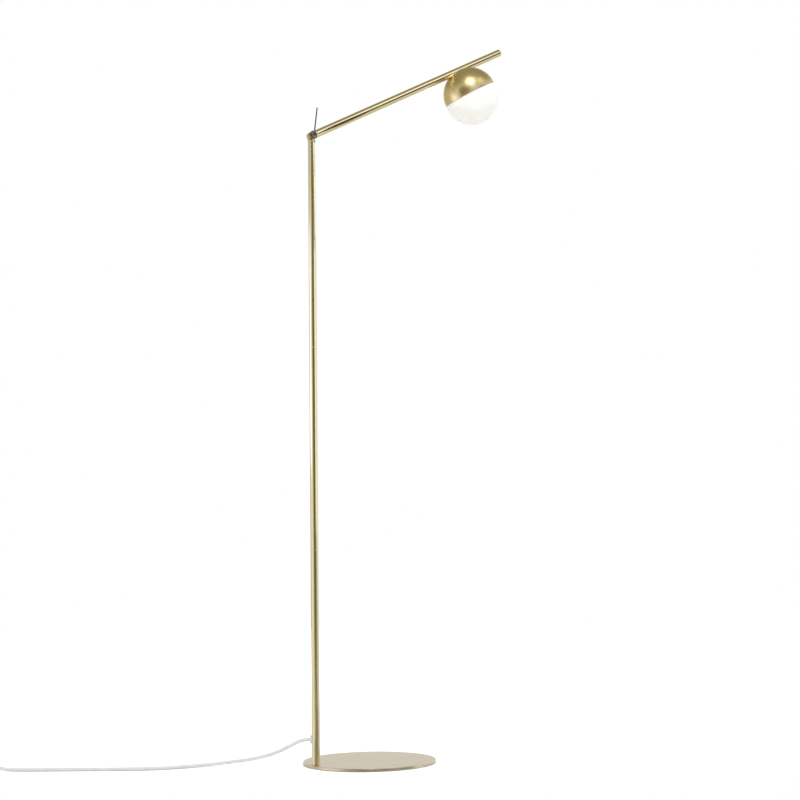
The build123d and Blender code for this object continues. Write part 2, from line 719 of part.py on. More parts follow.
# Coil: the upper layer spirals in, drops a layer in half a turn, and the lower one spirals out
COIL_OUT_R = COIL_INSIDE_R + COIL_TURNS * COIL_PITCH
COIL_X = SWITCH_FROM_POLE + SWITCH_L + COIL_BEYOND_SWITCH
COIL_Y = SWITCH_BESIDE - COIL_OUT_R
LAYER_TURN = 2 * math.pi * COIL_TURNS
CROSS_END = LAYER_TURN + math.pi
COIL_END = CROSS_END + LAYER_TURN
RATE = COIL_PITCH / (2 * math.pi)


def coil_radius(turn):
    """Distance of the cord's line from the coil's centre after an angle of winding."""
    if turn <= LAYER_TURN:
        return COIL_OUT_R - RATE * turn
    if turn < CROSS_END:
        s = turn - LAYER_TURN
        return COIL_INSIDE_R - RATE * (s - s * s / math.pi)
    return COIL_INSIDE_R + RATE * (turn - CROSS_END)


def coil_height(turn):
    """Height of the cord's line after an angle of winding."""
    u = min(max((turn - LAYER_TURN) / math.pi, 0.0), 1.0)
    return COIL_HIGH - COIL_STEP * u * u * (3 - 2 * u)


def coil_point(turn):
    angle = math.pi / 2 - turn
    r = coil_radius(turn)
    return Vector(COIL_X + r * math.cos(angle), COIL_Y + r * math.sin(angle), coil_height(turn))


def coil_tangent(turn):
    small = 1e-4
    return (coil_point(turn + small) - coil_point(turn - small)).normalized()


def biarc(p0, t0, p1, t1):
    """Two arcs that leave p0 along t0 and reach p1 along t1."""
    v = p1 - p0
    vt = v.dot(t0 + t1)
    bend = 2 * (1 - t0.dot(t1))
    if bend < 1e-9:
        reach = v.dot(v) / (4 * v.dot(t0))
    else:
        reach = (math.sqrt(vt * vt + bend * v.dot(v)) - vt) / bend
    q0 = p0 + t0 * reach
    q1 = p1 - t1 * reach
    middle = (q0 + q1) * 0.5
    return [TangentArc(p0, middle, tangent=t0), TangentArc(middle, p1, tangent=q1 - q0)]


PLUG_Z = PLUG_T / 2
RISE_END_X = COIL_X - PLUG_RISE_RUN
COIL_STOP_X = RISE_END_X - CORD_D
COIL_STOP_Y = COIL_Y - COIL_OUT_R


def coil_path():
    ahead = Vector(1, 0, 0)
    back = Vector(-1, 0, 0)
    quarter = math.pi / 2
    stations = [quarter * i for i in range(round(COIL_END / quarter) + 1)]
    points = [coil_point(turn) for turn in stations]
    tangents = [ahead] + [coil_tangent(turn) for turn in stations[1:-1]] + [back]
    start = Vector(SWITCH_FROM_POLE + SWITCH_L - SWITCH_ENTRY, SWITCH_BESIDE, SWITCH_AXIS)
    edges = [Line(start, points[0])]
    for i in range(len(points) - 1):
        edges += biarc(points[i], tangents[i], points[i + 1], tangents[i + 1])
    raised = Vector(RISE_END_X, COIL_STOP_Y, PLUG_Z)
    edges += biarc(points[-1], back, raised, back)
    edges.append(Line(raised, Vector(COIL_STOP_X - BOOT_ENTRY, COIL_STOP_Y, PLUG_Z)))
    return Wire([edge for piece in edges for edge in piece.edges()])


def least_coil_gap(path):
    """Least room between the coil's turns, measured on points along its line."""
    count = 900
    points = [path @ (i / count) for i in range(count + 1)]
    apart = round(count * 5 * CORD_D / path.length)
    nearest = min(
        (points[i] - points[j]).length for i in range(count + 1) for j in range(i + apart, count + 1)
    )
    return nearest - CORD_D


def cord_coil():
    path = coil_path()
    gap = least_coil_gap(path)
    print("coil least gap", round(gap, 2), "over", COIL_LEAST_GAP, gap > COIL_LEAST_GAP)
    return FLOOR * tube_along(path, CORD_R, "coil")


def coil_tie():
    """A flat strap round all the turns, on the side of the coil nearest the switch."""
    inner_turn = COIL_INSIDE_R + COIL_PITCH / 4
    outer_turn = inner_turn + (COIL_TURNS - 1) * COIL_PITCH
    across = outer_turn - inner_turn + 2 * (CORD_R + TIE_GAP)
    tall = COIL_STEP + 2 * (CORD_R + TIE_GAP)
    section = RectangleRounded(across + 2 * TIE_T, tall + 2 * TIE_T, TIE_CORNER + TIE_T)
    section -= RectangleRounded(across, tall, TIE_CORNER)
    middle = Vector(COIL_X - (inner_turn + outer_turn) / 2, COIL_Y + TIE_W / 2, (COIL_LOW + COIL_HIGH) / 2)
    return FLOOR * extrude(Plane(origin=middle, x_dir=(1, 0, 0), z_dir=(0, -1, 0)) * section, TIE_W)


# Plug: a flat two-pin plug with a tapered boot, lying beside the coil and pointing back
PLUG = FLOOR * Pos(COIL_STOP_X, COIL_STOP_Y, PLUG_Z) * Rot(0, 0, 180)


def plug_boot():
    cone = Rot(0, 90, 0) * Cone(BOOT_D_CORD / 2, BOOT_D_PLUG / 2, BOOT_L, align=FROM_END)
    return PLUG * (cone - bar_x(0, BOOT_ENTRY + SEAT_GAP, CORD_R + SOFT_GAP))


def plug_pin_bars(x0, x1, radius):
    """Round bars on the plug's two pins."""
    return [bar_x(x0, x1, radius, y=side * PLUG_PIN_SPREAD / 2) for side in (-1, 1)]


def plug_body():
    flat = Pos(BOOT_L + PLUG_L / 2, 0, 0) * RectangleRounded(PLUG_L, PLUG_W, PLUG_CORNER)
    body = Pos(0, 0, -PLUG_T / 2) * extrude(flat, PLUG_T)
    ends = body.edges().group_by(Axis.Z)
    body = fillet(ends[0] + ends[-1], PLUG_EDGE)
    face = BOOT_L + PLUG_L
    return PLUG * (body - several(plug_pin_bars(face - PLUG_PIN_ROOT, face, PLUG_PIN_D / 2 + PRESS_GAP)))


def plug_pins():
    face = BOOT_L + PLUG_L
    pins = plug_pin_bars(face - PLUG_PIN_ROOT, face + PLUG_PIN_L, PLUG_PIN_D / 2)
    return PLUG * several([fillet(pin.edges().sort_by(Axis.X)[-1], PLUG_PIN_D / 4) for pin in pins])


NODES["base_plate"] = base_plate()
NODES["base_pad"] = base_pad()
NODES["base_screw"] = base_screw()
NODES["foot_plug"] = foot_plug()
NODES["lower_tube"] = lower_tube()
NODES["middle_tube"] = pole_tube(LOWER_TOP, MIDDLE_TOP)
NODES["upper_tube"] = pole_tube(MIDDLE_TOP, UPPER_TOP)
NODES["lower_tube_bush"] = tube_bush(LOWER_TOP - BUSH_L, LOWER_TOP)
NODES["middle_tube_lower_bush"] = tube_bush(LOWER_TOP, LOWER_TOP + BUSH_L)
NODES["middle_tube_upper_bush"] = tube_bush(MIDDLE_TOP - BUSH_L, MIDDLE_TOP)
NODES["upper_tube_bush"] = tube_bush(MIDDLE_TOP, MIDDLE_TOP + BUSH_L)
NODES["lower_joint_nipple"] = joint_nipple(LOWER_TOP)
NODES["upper_joint_nipple"] = joint_nipple(MIDDLE_TOP)
NODES["cord_gland"] = cord_gland()
NODES["pole_cable"] = pole_cable()
NODES["pole_knuckle"] = POLE_END * knuckle()
NODES["arm_knuckle"] = ARM * knuckle()
NODES["friction_washer"] = friction_washer()
NODES["clamp_washer"] = clamp_washer()
NODES["clamp_screw"] = clamp_screw()
NODES["lever_rod"] = lever_rod()
NODES["arm_tube"] = arm_tube()
NODES["arm_end_cap"] = arm_end_cap()
NODES["arm_insert"] = arm_insert()
NODES["arm_cable"] = arm_cable()
NODES["head_cap"] = head_cap()
NODES["head_screws"] = head_screws()
NODES["holder_bracket"] = holder_bracket()
NODES["holder_screws"] = holder_screws()
NODES["lampholder"] = lampholder()
NODES["bulb_base"] = bulb_base()
NODES["bulb_pins"] = bulb_pins()
NODES["bulb_cover"] = bulb_cover()
NODES["bulb_board"] = bulb_board()
NODES["glass_ring"] = glass_ring()
NODES["glass_shade"] = glass_shade()
NODES["glass_gasket"] = glass_gasket()
NODES["cord_lead"] = cord_lead()
NODES["switch_lower_shell"] = switch_lower_shell()
NODES["switch_upper_shell"] = switch_upper_shell()
NODES["switch_rocker"] = switch_rocker()
NODES["switch_pin"] = switch_pin()
NODES["switch_contacts"] = switch_contacts()
NODES["switch_screws"] = switch_screws()
NODES["cord_coil"] = cord_coil()
NODES["coil_tie"] = coil_tie()
NODES["plug_boot"] = plug_boot()
NODES["plug_body"] = plug_body()
NODES["plug_pins"] = plug_pins()

os.makedirs("parts", exist_ok=True)
for name, solid in NODES.items():
    export_step(solid, f"parts/{name}.step")
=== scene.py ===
import math

import bmesh
import bpy
from mathutils import Matrix, Vector


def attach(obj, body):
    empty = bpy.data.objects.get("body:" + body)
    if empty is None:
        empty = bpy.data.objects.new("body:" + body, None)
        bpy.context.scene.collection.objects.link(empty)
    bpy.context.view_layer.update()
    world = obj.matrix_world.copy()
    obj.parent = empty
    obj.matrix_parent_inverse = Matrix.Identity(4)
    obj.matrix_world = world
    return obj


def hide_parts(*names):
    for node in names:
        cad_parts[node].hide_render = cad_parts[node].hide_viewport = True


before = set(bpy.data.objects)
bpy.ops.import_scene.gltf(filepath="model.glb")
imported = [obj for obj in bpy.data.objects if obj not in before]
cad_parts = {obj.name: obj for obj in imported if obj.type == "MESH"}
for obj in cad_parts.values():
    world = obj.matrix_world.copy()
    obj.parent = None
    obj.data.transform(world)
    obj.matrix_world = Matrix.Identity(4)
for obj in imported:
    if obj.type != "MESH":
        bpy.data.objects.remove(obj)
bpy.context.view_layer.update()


# Camera: it stands low, in front of the lamp and to its left, and looks slightly up.
# Its place, its lens and its small roll put the base, the pole and the head where the
# photograph has them.
CAMERA_AT = Vector((-1.1773, -2.1268, 0.3161))
CAMERA_LENS = 57.375
CAMERA_SENSOR = 36.0
CAMERA_TURN = math.radians(30.56)
CAMERA_PITCH = math.radians(8.451)
CAMERA_ROLL = math.radians(0.967)
UP = Vector((0, 0, 1))

scene = bpy.context.scene
scene.view_settings.view_transform = "Standard"


def put_in_scene(name, data):
    """A new object in the scene, at the origin."""
    piece = bpy.data.objects.new(name, data)
    scene.collection.objects.link(piece)
    return piece


def axes_at(origin, x_way, y_way, z_way):
    """A place with an origin and three directions of its own."""
    return Matrix.Translation(origin) @ Matrix((x_way, y_way, z_way)).transposed().to_4x4()


level_right = Vector((math.cos(CAMERA_TURN), -math.sin(CAMERA_TURN), 0))
level_ahead = Vector((math.sin(CAMERA_TURN), math.cos(CAMERA_TURN), 0))
camera_ahead = level_ahead * math.cos(CAMERA_PITCH) + UP * math.sin(CAMERA_PITCH)
camera_top = UP * math.cos(CAMERA_PITCH) - level_ahead * math.sin(CAMERA_PITCH)
camera_right = level_right * math.cos(CAMERA_ROLL) - camera_top * math.sin(CAMERA_ROLL)
camera_up = camera_top * math.cos(CAMERA_ROLL) + level_right * math.sin(CAMERA_ROLL)
camera_data = bpy.data.cameras.new("camera")
camera_data.lens = CAMERA_LENS
camera_data.sensor_width = CAMERA_SENSOR
camera = put_in_scene("camera", camera_data)
camera.matrix_world = axes_at(CAMERA_AT, camera_right, camera_up, -camera_ahead)
scene.camera = camera


# Mains cord: a round two-core lead in white soft vinyl, 6 mm thick. It leaves the gland low
# on the pole, drops to the floor and runs out of sight to the in-line switch. Past the switch
# the spare length is wound in two layers, and a strap holds the turns.
MM = 0.001
POLE_X = -110.5
CORD_R = 3.0
CORD_HEADING = math.radians(149.4)
GLAND_Z = 50.5
SWITCH_NEAR = 625.0
SWITCH_FAR = 685.0
SWITCH_Y = -24.0
SWITCH_ENTRY = 4.0
SWITCH_AXIS = 10.8
COIL_INSIDE_R = 25.2
COIL_PITCH = 7.2
COIL_TURNS = 3
COIL_OUTSIDE_R = COIL_INSIDE_R + COIL_TURNS * COIL_PITCH
COIL_X = 725.0
COIL_Y = SWITCH_Y - COIL_OUTSIDE_R
COIL_LOW = 4.0
COIL_STEPS = 16
PLUG_AXIS = 7.0
PLUG_START = 695.0
TOUCH_RANGE = (0.3, 0.7)
PLASTIC_TOUCH = 60.0
PLASTIC_SMOOTHER = 0.05
PLASTIC_DULLER = 0.07
PLASTIC_BUMP = 0.35

pole_place = Matrix.Translation((POLE_X * MM, 0, 0))
cord_place = pole_place @ Matrix.Rotation(CORD_HEADING, 4, "Z")


def fed(tree, node, inputs):
    """A node with its inputs fixed, or joined to the results of other nodes."""
    for key, value in inputs.items():
        socket = node.inputs[key]
        if isinstance(value, bpy.types.NodeSocket):
            tree.links.new(value, socket)
        elif socket.type == "RGBA":
            socket.default_value = (*value, 1)
        else:
            socket.default_value = value
    return node


def added(tree, kind, inputs, **settings):
    """A new node with its settings and its inputs."""
    node = tree.nodes.new(kind)
    for name, value in settings.items():
        setattr(node, name, value)
    return fed(tree, node, inputs)


def ranged(tree, value, low, high, from_low=0, from_high=1):
    """A value taken from one range to another."""
    ends = {"From Min": from_low, "From Max": from_high, "To Min": low, "To Max": high}
    return added(tree, "ShaderNodeMapRange", {"Value": value, **ends}).outputs["Result"]


def two_tones(tree, share, first, second):
    """A colour between two others, by a share."""
    tones = {"Factor": share, "A": first, "B": second}
    return added(tree, "ShaderNodeMix", tones, data_type="RGBA").outputs["Result"]


def bumped(tree, height, distance, strength):
    """A normal from a height."""
    relief = {"Height": height, "Distance": distance, "Strength": strength}
    return added(tree, "ShaderNodeBump", relief).outputs["Normal"]


def open_group(name, kind, inputs, outputs):
    """An empty node group with named sockets: the group, what it is given and its end node."""
    group = bpy.data.node_groups.new(name, kind)
    for way, sockets in (("OUTPUT", outputs), ("INPUT", inputs)):
        for label, socket in sockets.items():
            group.interface.new_socket(name=label, in_out=way, socket_type="NodeSocket" + socket)
    return group, group.nodes.new("NodeGroupInput").outputs, group.nodes.new("NodeGroupOutput")


# Faint marks of handling, shared by most finishes
handling, handling_given, handling_end = open_group(
    "handling_marks", "ShaderNodeTree", {"Coordinates": "Vector", "Size": "Float"}, {"Marks": "Float"}
)
handling_place = {"Vector": handling_given["Coordinates"], "Scale": handling_given["Size"]}
handling_detail = {**handling_place, "Detail": 3.0, "Distortion": 0.6}
handling_noise = added(handling, "ShaderNodeTexNoise", handling_detail)
fed(handling, handling_end, {"Marks": ranged(handling, handling_noise.outputs["Fac"], 0, 1, *TOUCH_RANGE)})

# Fine moulding grain, shared by the plastics, the rubber, the zinc and the frosted cover
grain, grain_given, grain_end = open_group(
    "moulding_grain", "ShaderNodeTree", {"Coordinates": "Vector", "Fineness": "Float"}, {"Grain": "Float"}
)
grain_place = {"Vector": grain_given["Coordinates"], "Scale": grain_given["Fineness"]}
grain_cells = added(grain, "ShaderNodeTexVoronoi", grain_place, feature="SMOOTH_F1")
fed(grain, grain_end, {"Grain": grain_cells.outputs["Distance"]})


def grouped(tree, group, coordinates, size):
    """One of the shared effects, placed in a material with its own size."""
    node = tree.nodes.new("ShaderNodeGroup")
    node.node_tree = group
    return fed(tree, node, {0: coordinates, 1: size}).outputs[0]


def new_finish(name, fixed=None):
    """A finish with some fixed values: its node tree, its shader and its object coordinates."""
    finish = bpy.data.materials.new(name)
    finish.use_nodes = True
    tree = finish.node_tree
    shader = fed(tree, tree.nodes["Principled BSDF"], fixed or {})
    return finish, tree, shader, tree.nodes.new("ShaderNodeTexCoord").outputs["Object"]


def toned(tree, shader, marks, tones, roughness):
    """Colour and roughness that both follow the same marks."""
    colour = two_tones(tree, marks, *tones)
    fed(tree, shader, {"Base Color": colour, "Roughness": ranged(tree, marks, *roughness)})


def moulded(name, first, second, rough, fineness, depth, specular=0.5):
    """Moulded plastic or rubber: two close tones, a fine grain and faint marks of handling."""
    finish, tree, shader, place = new_finish(name, {"Specular IOR Level": specular})
    marks = grouped(tree, handling, place, size=PLASTIC_TOUCH)
    pores = grouped(tree, grain, place, size=fineness)
    toned(tree, shader, marks, (first, second), (rough - PLASTIC_SMOOTHER, rough + PLASTIC_DULLER))
    fed(tree, shader, {"Normal": bumped(tree, pores, depth, PLASTIC_BUMP)})
    return finish


def cord_curve(name, place, route, radius, finish):
    """A cord on a smooth spline that has its route's points as its control points."""
    curve = bpy.data.curves.new(name, "CURVE")
    curve.dimensions = "3D"
    curve.resolution_u = 10
    curve.bevel_depth = radius * MM
    curve.bevel_resolution = 6
    curve.use_fill_caps = True
    spline = curve.splines.new("NURBS")
    spline.points.add(len(route) - 1)
    for control, point in zip(spline.points, route):
        control.co = (*(place @ (Vector(point) * MM)), 1)
    spline.order_u = 3
    spline.use_endpoint_u = True
    curve.materials.append(finish)
    return put_in_scene(name, curve)


def carried(piece, body, node=None):
    """A piece on its body and, where it has one, in its node's place."""
    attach(piece, body)
    if node:
        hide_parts(node)


cord_vinyl = moulded(
    "cord_vinyl", (0.62, 0.62, 0.61), (0.68, 0.68, 0.67), rough=0.42, fineness=1400.0, depth=0.00004
)
lead_route = [
    (6.0, 0.0, GLAND_Z),
    (25.0, 0.0, GLAND_Z),
    (46.0, -6.0, 39.5),
    (66.0, -15.0, 29.0),
    (94.0, -28.0, 18.5),
    (133.0, -41.0, 10.3),
    (186.0, -48.0, 4.2),
    (240.0, -22.0, CORD_R),
    (295.0, -4.0, CORD_R),
    (350.0, -5.0, CORD_R),
    (420.0, -10.0, CORD_R),
    (500.0, -15.0, CORD_R),
    (566.0, -20.0, CORD_R),
    (603.0, SWITCH_Y, SWITCH_AXIS),
    (SWITCH_NEAR + SWITCH_ENTRY, SWITCH_Y, SWITCH_AXIS),
]
cord_lead = cord_curve("mains_cord", cord_place, lead_route, CORD_R, cord_vinyl)

layer_turn = 2 * math.pi * COIL_TURNS
cross_end = layer_turn + math.pi
coil_end = cross_end + layer_turn
coil_step = 2 * math.pi / COIL_STEPS
coil_rate = COIL_PITCH / (2 * math.pi)
corner_reach = 1 / math.cos(coil_step / 2)
coil_route = [
    (SWITCH_FAR - SWITCH_ENTRY, SWITCH_Y, SWITCH_AXIS),
    (SWITCH_FAR + 10, SWITCH_Y, SWITCH_AXIS),
    (COIL_X - COIL_OUTSIDE_R * math.tan(coil_step / 2), SWITCH_Y, SWITCH_AXIS),
]
for i in range(round(coil_end / coil_step)):
    turn = (i + 0.5) * coil_step
    if turn <= layer_turn:
        radius = COIL_OUTSIDE_R - coil_rate * turn
    elif turn < cross_end:
        crossed = turn - layer_turn
        radius = COIL_INSIDE_R - coil_rate * (crossed - crossed * crossed / math.pi)
    else:
        radius = COIL_INSIDE_R + coil_rate * (turn - cross_end)
    fall = min(max((turn - layer_turn) / math.pi, 0), 1)
    height = SWITCH_AXIS - (SWITCH_AXIS - COIL_LOW) * fall * fall * (3 - 2 * fall)
    angle = math.pi / 2 - turn
    reach = radius * corner_reach
    coil_route.append((COIL_X + reach * math.cos(angle), COIL_Y + reach * math.sin(angle), height))
coil_last_y = COIL_Y - COIL_OUTSIDE_R
coil_route += [
    (COIL_X - 9.3, coil_last_y, COIL_LOW),
    (COIL_X - 14.0, coil_last_y, 5.6),
    (COIL_X - 20.0, coil_last_y, PLUG_AXIS),
    (PLUG_START, coil_last_y, PLUG_AXIS),
    (PLUG_START - 6, coil_last_y, PLUG_AXIS),
]
cord_coil = cord_curve("spare_cord_coil", cord_place, coil_route, CORD_R, cord_vinyl)
for piece, node in ((cord_lead, "cord_lead"), (cord_coil, "cord_coil")):
    carried(piece, "stand", node)


# Studio: a white paper sweep that ends a little in front of the lamp, and one large soft box
# over the camera. Boxes, cards and dark flags round the lamp, and a dim warm room behind the
# camera and overhead, show only in the metal and the glass.
SWEEP_FRONT = 0.20
SWEEP_WIDE = 7.0
SWEEP_BACK = 9.0
SWEEP_BELOW = 0.0002
SWEEP_LIFT = 0.16
SWEEP_WHITE_FROM = 1.0
SWEEP_WHITE_TO = 2.2
SWEEP_MIRRORED = (0.066, 0.074)
SWEEP_PAPER = (0.93, 0.93, 0.93)
SWEEP_IN_METAL = (0.70, 0.68, 0.60)
STUDIO_WHITE = (1.0, 1.0, 1.0)
LEFT_COOL = (0.90, 1.03, 1.65)
CAP_COOL = (0.90, 1.1, 1.7)
ROOM_DIM = (0.34, 0.31, 0.215)
ROOM_HALF = (0.90, 0.86, 0.76)
ROOM_LEFT = (0.62, 0.58, 0.44)
ROOM_RIM = (0.30, 0.29, 0.25)
ROOM_DARK = (0.13, 0.115, 0.055)
ROOM_RIGHT = (0.08, 0.07, 0.035)
ROOM_EDGE = 8
ROOM_FOOT = (-0.70, -0.50)
ROOM_TOP = (0.38, 0.50)
RIGHT_FOOT = (-0.22, -0.06)
CEILING_LEAN = 0.2
CEILING = (0.36, 0.60)
LEVEL_PART = (1, 1, 0)

towards_camera = -level_ahead


def studio_way(turn, rise):
    """A direction from the lamp: turn to the right of the camera, rise from the horizon."""
    flat = towards_camera * math.cos(math.radians(turn)) + level_right * math.sin(math.radians(turn))
    return flat * math.cos(math.radians(rise)) + UP * math.sin(math.radians(rise))


def computed(tree, operation, *values):
    """A number worked out from others."""
    return added(tree, "ShaderNodeMath", dict(enumerate(values)), operation=operation).outputs["Value"]


def directed(tree, operation, result, *ways):
    """A direction, or the measure of one, worked out from others."""
    return added(tree, "ShaderNodeVectorMath", dict(enumerate(ways)), operation=operation).outputs[result]


def along(tree, way, axis):
    """How far a direction runs along an axis."""
    return directed(tree, "DOT_PRODUCT", "Value", way, axis)


world = bpy.data.worlds.new("studio")
scene.world = world
world.use_nodes = True
sky = world.node_tree
sky.nodes.clear()
sky_way = sky.nodes.new("ShaderNodeTexCoord").outputs["Generated"]
sky_level = directed(sky, "NORMALIZE", "Vector", directed(sky, "MULTIPLY", "Vector", sky_way, LEVEL_PART))
sky_height = along(sky, sky_way, UP)
ceiling_share = ranged(sky, along(sky, sky_way, UP - level_right * CEILING_LEAN), 0, 1, *CEILING)
sky_colour = two_tones(sky, ceiling_share, STUDIO_WHITE, ROOM_DIM)

# Shades of the room: middle and half width in degrees, soft foot, soft top and tone
for turn, half, foot, top, tone in (
    (-128, 32, ROOM_FOOT, ROOM_TOP, ROOM_LEFT),
    (-34, 20, ROOM_FOOT, ROOM_TOP, ROOM_HALF),
    (44, 40, RIGHT_FOOT, (0.18, 0.34), ROOM_RIGHT),
    (66, 12, RIGHT_FOOT, (0.28, 0.46), ROOM_RIGHT),
    (10, 31, (-0.19, -0.03), (0.38, 0.52), ROOM_DARK),
):
    outer = math.cos(math.radians(half + ROOM_EDGE))
    inner = math.cos(math.radians(half - ROOM_EDGE))
    across = ranged(sky, along(sky, sky_level, studio_way(turn, 0)), 0, 1, outer, inner)
    lowered = computed(sky, "MULTIPLY", across, ranged(sky, sky_height, 1, 0, *top))
    shade = computed(sky, "MULTIPLY", lowered, ranged(sky, sky_height, 0, 1, *foot))
    sky_colour = two_tones(sky, shade, sky_colour, tone)
sky_ray = sky.nodes.new("ShaderNodeLightPath").outputs
sky_white = computed(sky, "MAXIMUM", sky_ray["Is Camera Ray"], sky_ray["Is Transmission Ray"])
sky_mirrored = two_tones(sky, sky_ray["Is Glossy Ray"], STUDIO_WHITE, sky_colour)
sky_seen = two_tones(sky, sky_white, sky_mirrored, STUDIO_WHITE)
sky_lit = added(sky, "ShaderNodeBackground", {"Color": sky_seen})
added(sky, "ShaderNodeOutputWorld", {"Surface": sky_lit.outputs[0]})


def flat_sheet(name, corners, cover):
    """A flat four-cornered sheet that belongs to the studio."""
    mesh = bpy.data.meshes.new(name)
    mesh.from_pydata(corners, [], [(0, 1, 2, 3)])
    mesh.materials.append(cover)
    sheet = put_in_scene(name, mesh)
    return sheet


# The sweep glows to white far from the lamp, and the metal doesn't mirror its front
sweep_paper, sweep_tree, sweep_shader, sweep_at = new_finish(
    "sweep_paper", {"Roughness": 0.9, "Specular IOR Level": 0.0, "Emission Color": STUDIO_WHITE}
)
sweep_ray = sweep_tree.nodes.new("ShaderNodeLightPath").outputs
sweep_away = directed(sweep_tree, "LENGTH", "Value", sweep_at)
sweep_lift = ranged(sweep_tree, sweep_away, SWEEP_LIFT, 1.0, SWEEP_WHITE_FROM, SWEEP_WHITE_TO)
sweep_colour = two_tones(sweep_tree, sweep_ray["Is Glossy Ray"], SWEEP_PAPER, SWEEP_IN_METAL)
sweep_glow = computed(sweep_tree, "MULTIPLY", sweep_ray["Is Camera Ray"], sweep_lift)
fed(sweep_tree, sweep_shader, {"Base Color": sweep_colour, "Emission Strength": sweep_glow})
sweep_front_share = ranged(sweep_tree, along(sweep_tree, sweep_at, towards_camera), 0, 1, *SWEEP_MIRRORED)
sweep_open = computed(sweep_tree, "MULTIPLY", sweep_ray["Is Glossy Ray"], sweep_front_share)
sweep_clear = sweep_tree.nodes.new("ShaderNodeBsdfTransparent")
sweep_blend = added(
    sweep_tree,
    "ShaderNodeMixShader",
    {"Fac": sweep_open, 1: sweep_shader.outputs["BSDF"], 2: sweep_clear.outputs["BSDF"]},
)
fed(sweep_tree, sweep_tree.nodes["Material Output"], {"Surface": sweep_blend.outputs[0]})
sweep_foot = Vector((POLE_X * MM, 0, -SWEEP_BELOW))
sweep_front = sweep_foot + towards_camera * SWEEP_FRONT
sweep_back = sweep_foot - towards_camera * SWEEP_BACK
sweep_aside = level_right * SWEEP_WIDE
sweep_corners = [
    sweep_front - sweep_aside,
    sweep_front + sweep_aside,
    sweep_back + sweep_aside,
    sweep_back - sweep_aside,
]
flat_sheet("paper_sweep", sweep_corners, sweep_paper)


def stand_at(aim, turn, rise, away):
    """The place of a box or flag that faces a point, in a direction from that point."""
    middle = aim + studio_way(turn, rise) * away
    return Matrix.Translation(middle) @ (aim - middle).to_track_quat("-Z", "Y").to_matrix().to_4x4()


def soft_box(name, aim, turn, rise, away, wide, tall, level, tone, lights):
    """A soft box of a given brightness; only metal and glass show one that doesn't light."""
    light = bpy.data.lights.new(name, "AREA")
    light.shape = "RECTANGLE"
    light.size = wide
    light.size_y = tall
    light.energy = level * math.pi * wide * tall
    light.color = tone
    box = put_in_scene(name, light)
    box.matrix_world = stand_at(aim, turn, rise, away)
    box.visible_camera = False
    box.visible_diffuse = lights


def dark_flag(name, aim, turn, rise, away, wide, tall, tone):
    """A dim cloth flag that only the metal mirrors."""
    place = stand_at(aim, turn, rise, away)
    signs = ((-1, -1), (1, -1), (1, 1), (-1, 1))
    corners = [place @ Vector((x * wide / 2, y * tall / 2, 0)) for x, y in signs]
    dim = {"Specular IOR Level": 0.0, "Emission Color": tone, "Emission Strength": 1.0}
    flag = flat_sheet(name, corners, new_finish(name, {"Base Color": (0, 0, 0), **dim})[0])
    flag.visible_camera = False
    flag.visible_diffuse = False
    flag.visible_transmission = False
    flag.visible_shadow = False


head_at = Vector((0.262, 0, 1.345))
arm_at = Vector((0.06, 0, 1.29))
pole_at = Vector((POLE_X * MM, 0, 0.795))
foot_at = Vector((POLE_X * MM, 0, 0.25))
top_at = Vector((POLE_X * MM, 0, 1.08))
hinge_end_at = Vector((-0.0415, 0, 1.2304))
rim_at = Vector((0, 0, 0.003))

# Boxes and cards: point faced, turn, rise, distance, width, height, level, tone, gives light
for box in (
    ("key_box", head_at, -1, 36.5, 3.2, 1.3, 1.25, 7.0, STUDIO_WHITE, True),
    ("left_box", head_at, -76, -17, 1.3, 0.7, 0.7, 0.95, LEFT_COOL, False),
    ("pole_card", pole_at, 64, 0, 0.6, 0.4, 0.69, 1.1, STUDIO_WHITE, False),
    ("foot_card", foot_at, 68, 0, 0.6, 0.45, 0.4, 0.42, STUDIO_WHITE, False),
    ("cap_card", head_at, 18, 8, 0.5, 0.36, 0.2, 0.7, CAP_COOL, False),
    ("arm_box", arm_at, 54, 43, 3.0, 1.0, 0.8, 1.3, STUDIO_WHITE, False),
    ("pole_top_card", top_at, 84, 17, 0.05, 0.03, 0.18, 0.8, STUDIO_WHITE, False),
):
    soft_box(*box)

# Flags: point faced, turn, rise, distance, width, height and tone
for flag in (
    ("head_flag", head_at, -25, -5, 0.5, 0.42, 0.34, ROOM_DARK),
    ("arm_flag", hinge_end_at, 66, 2, 0.13, 0.13, 0.13, ROOM_RIGHT),
    ("rim_flag", rim_at, 0, -5.5, 0.42, 0.68, 0.07, ROOM_RIM),
):
    dark_flag(*flag)


# Base: a round plate of steel, turned on its edge, brushed on top and brass plated under a
# clear lacquer. The pole's screw sits in a counterbore below, and a foam pad keeps the plate
# off the floor.
BASE_R = 122.5
BASE_LOW = 1.0
BASE_TOP = 5.5
BASE_EDGE = 0.7
EDGE_SLOPE = 0.8
PAD_EDGE = 0.25
BASE_HOLE_R = 4.15
BASE_SINK_R = 8.15
BASE_SINK = 2.4
CUT_SPARE = 1.0
BASE_BRUSH = math.radians(-24)
BASE_TINT = (0.93, 0.91, 0.87)
BRASS_DARK = (0.73, 0.64, 0.39)
BRASS_LIGHT = (0.80, 0.71, 0.45)
BRASS_TOUCH = 22.0
BRASS_WEAR = (-0.01, 0.02)
BRUSH_STRETCH = 0.012
BRUSH_RANGE = (0.25, 0.75)
BRUSH_BUMP = 0.5
ON_AXIS = 1e-6
ROUND_ANGLE = 32.0
NODE_ANGLE = 30.0
EASED_ANGLE = 40.0
FLAT_ANGLE = 0.4
MERGE_GAP = 2e-6

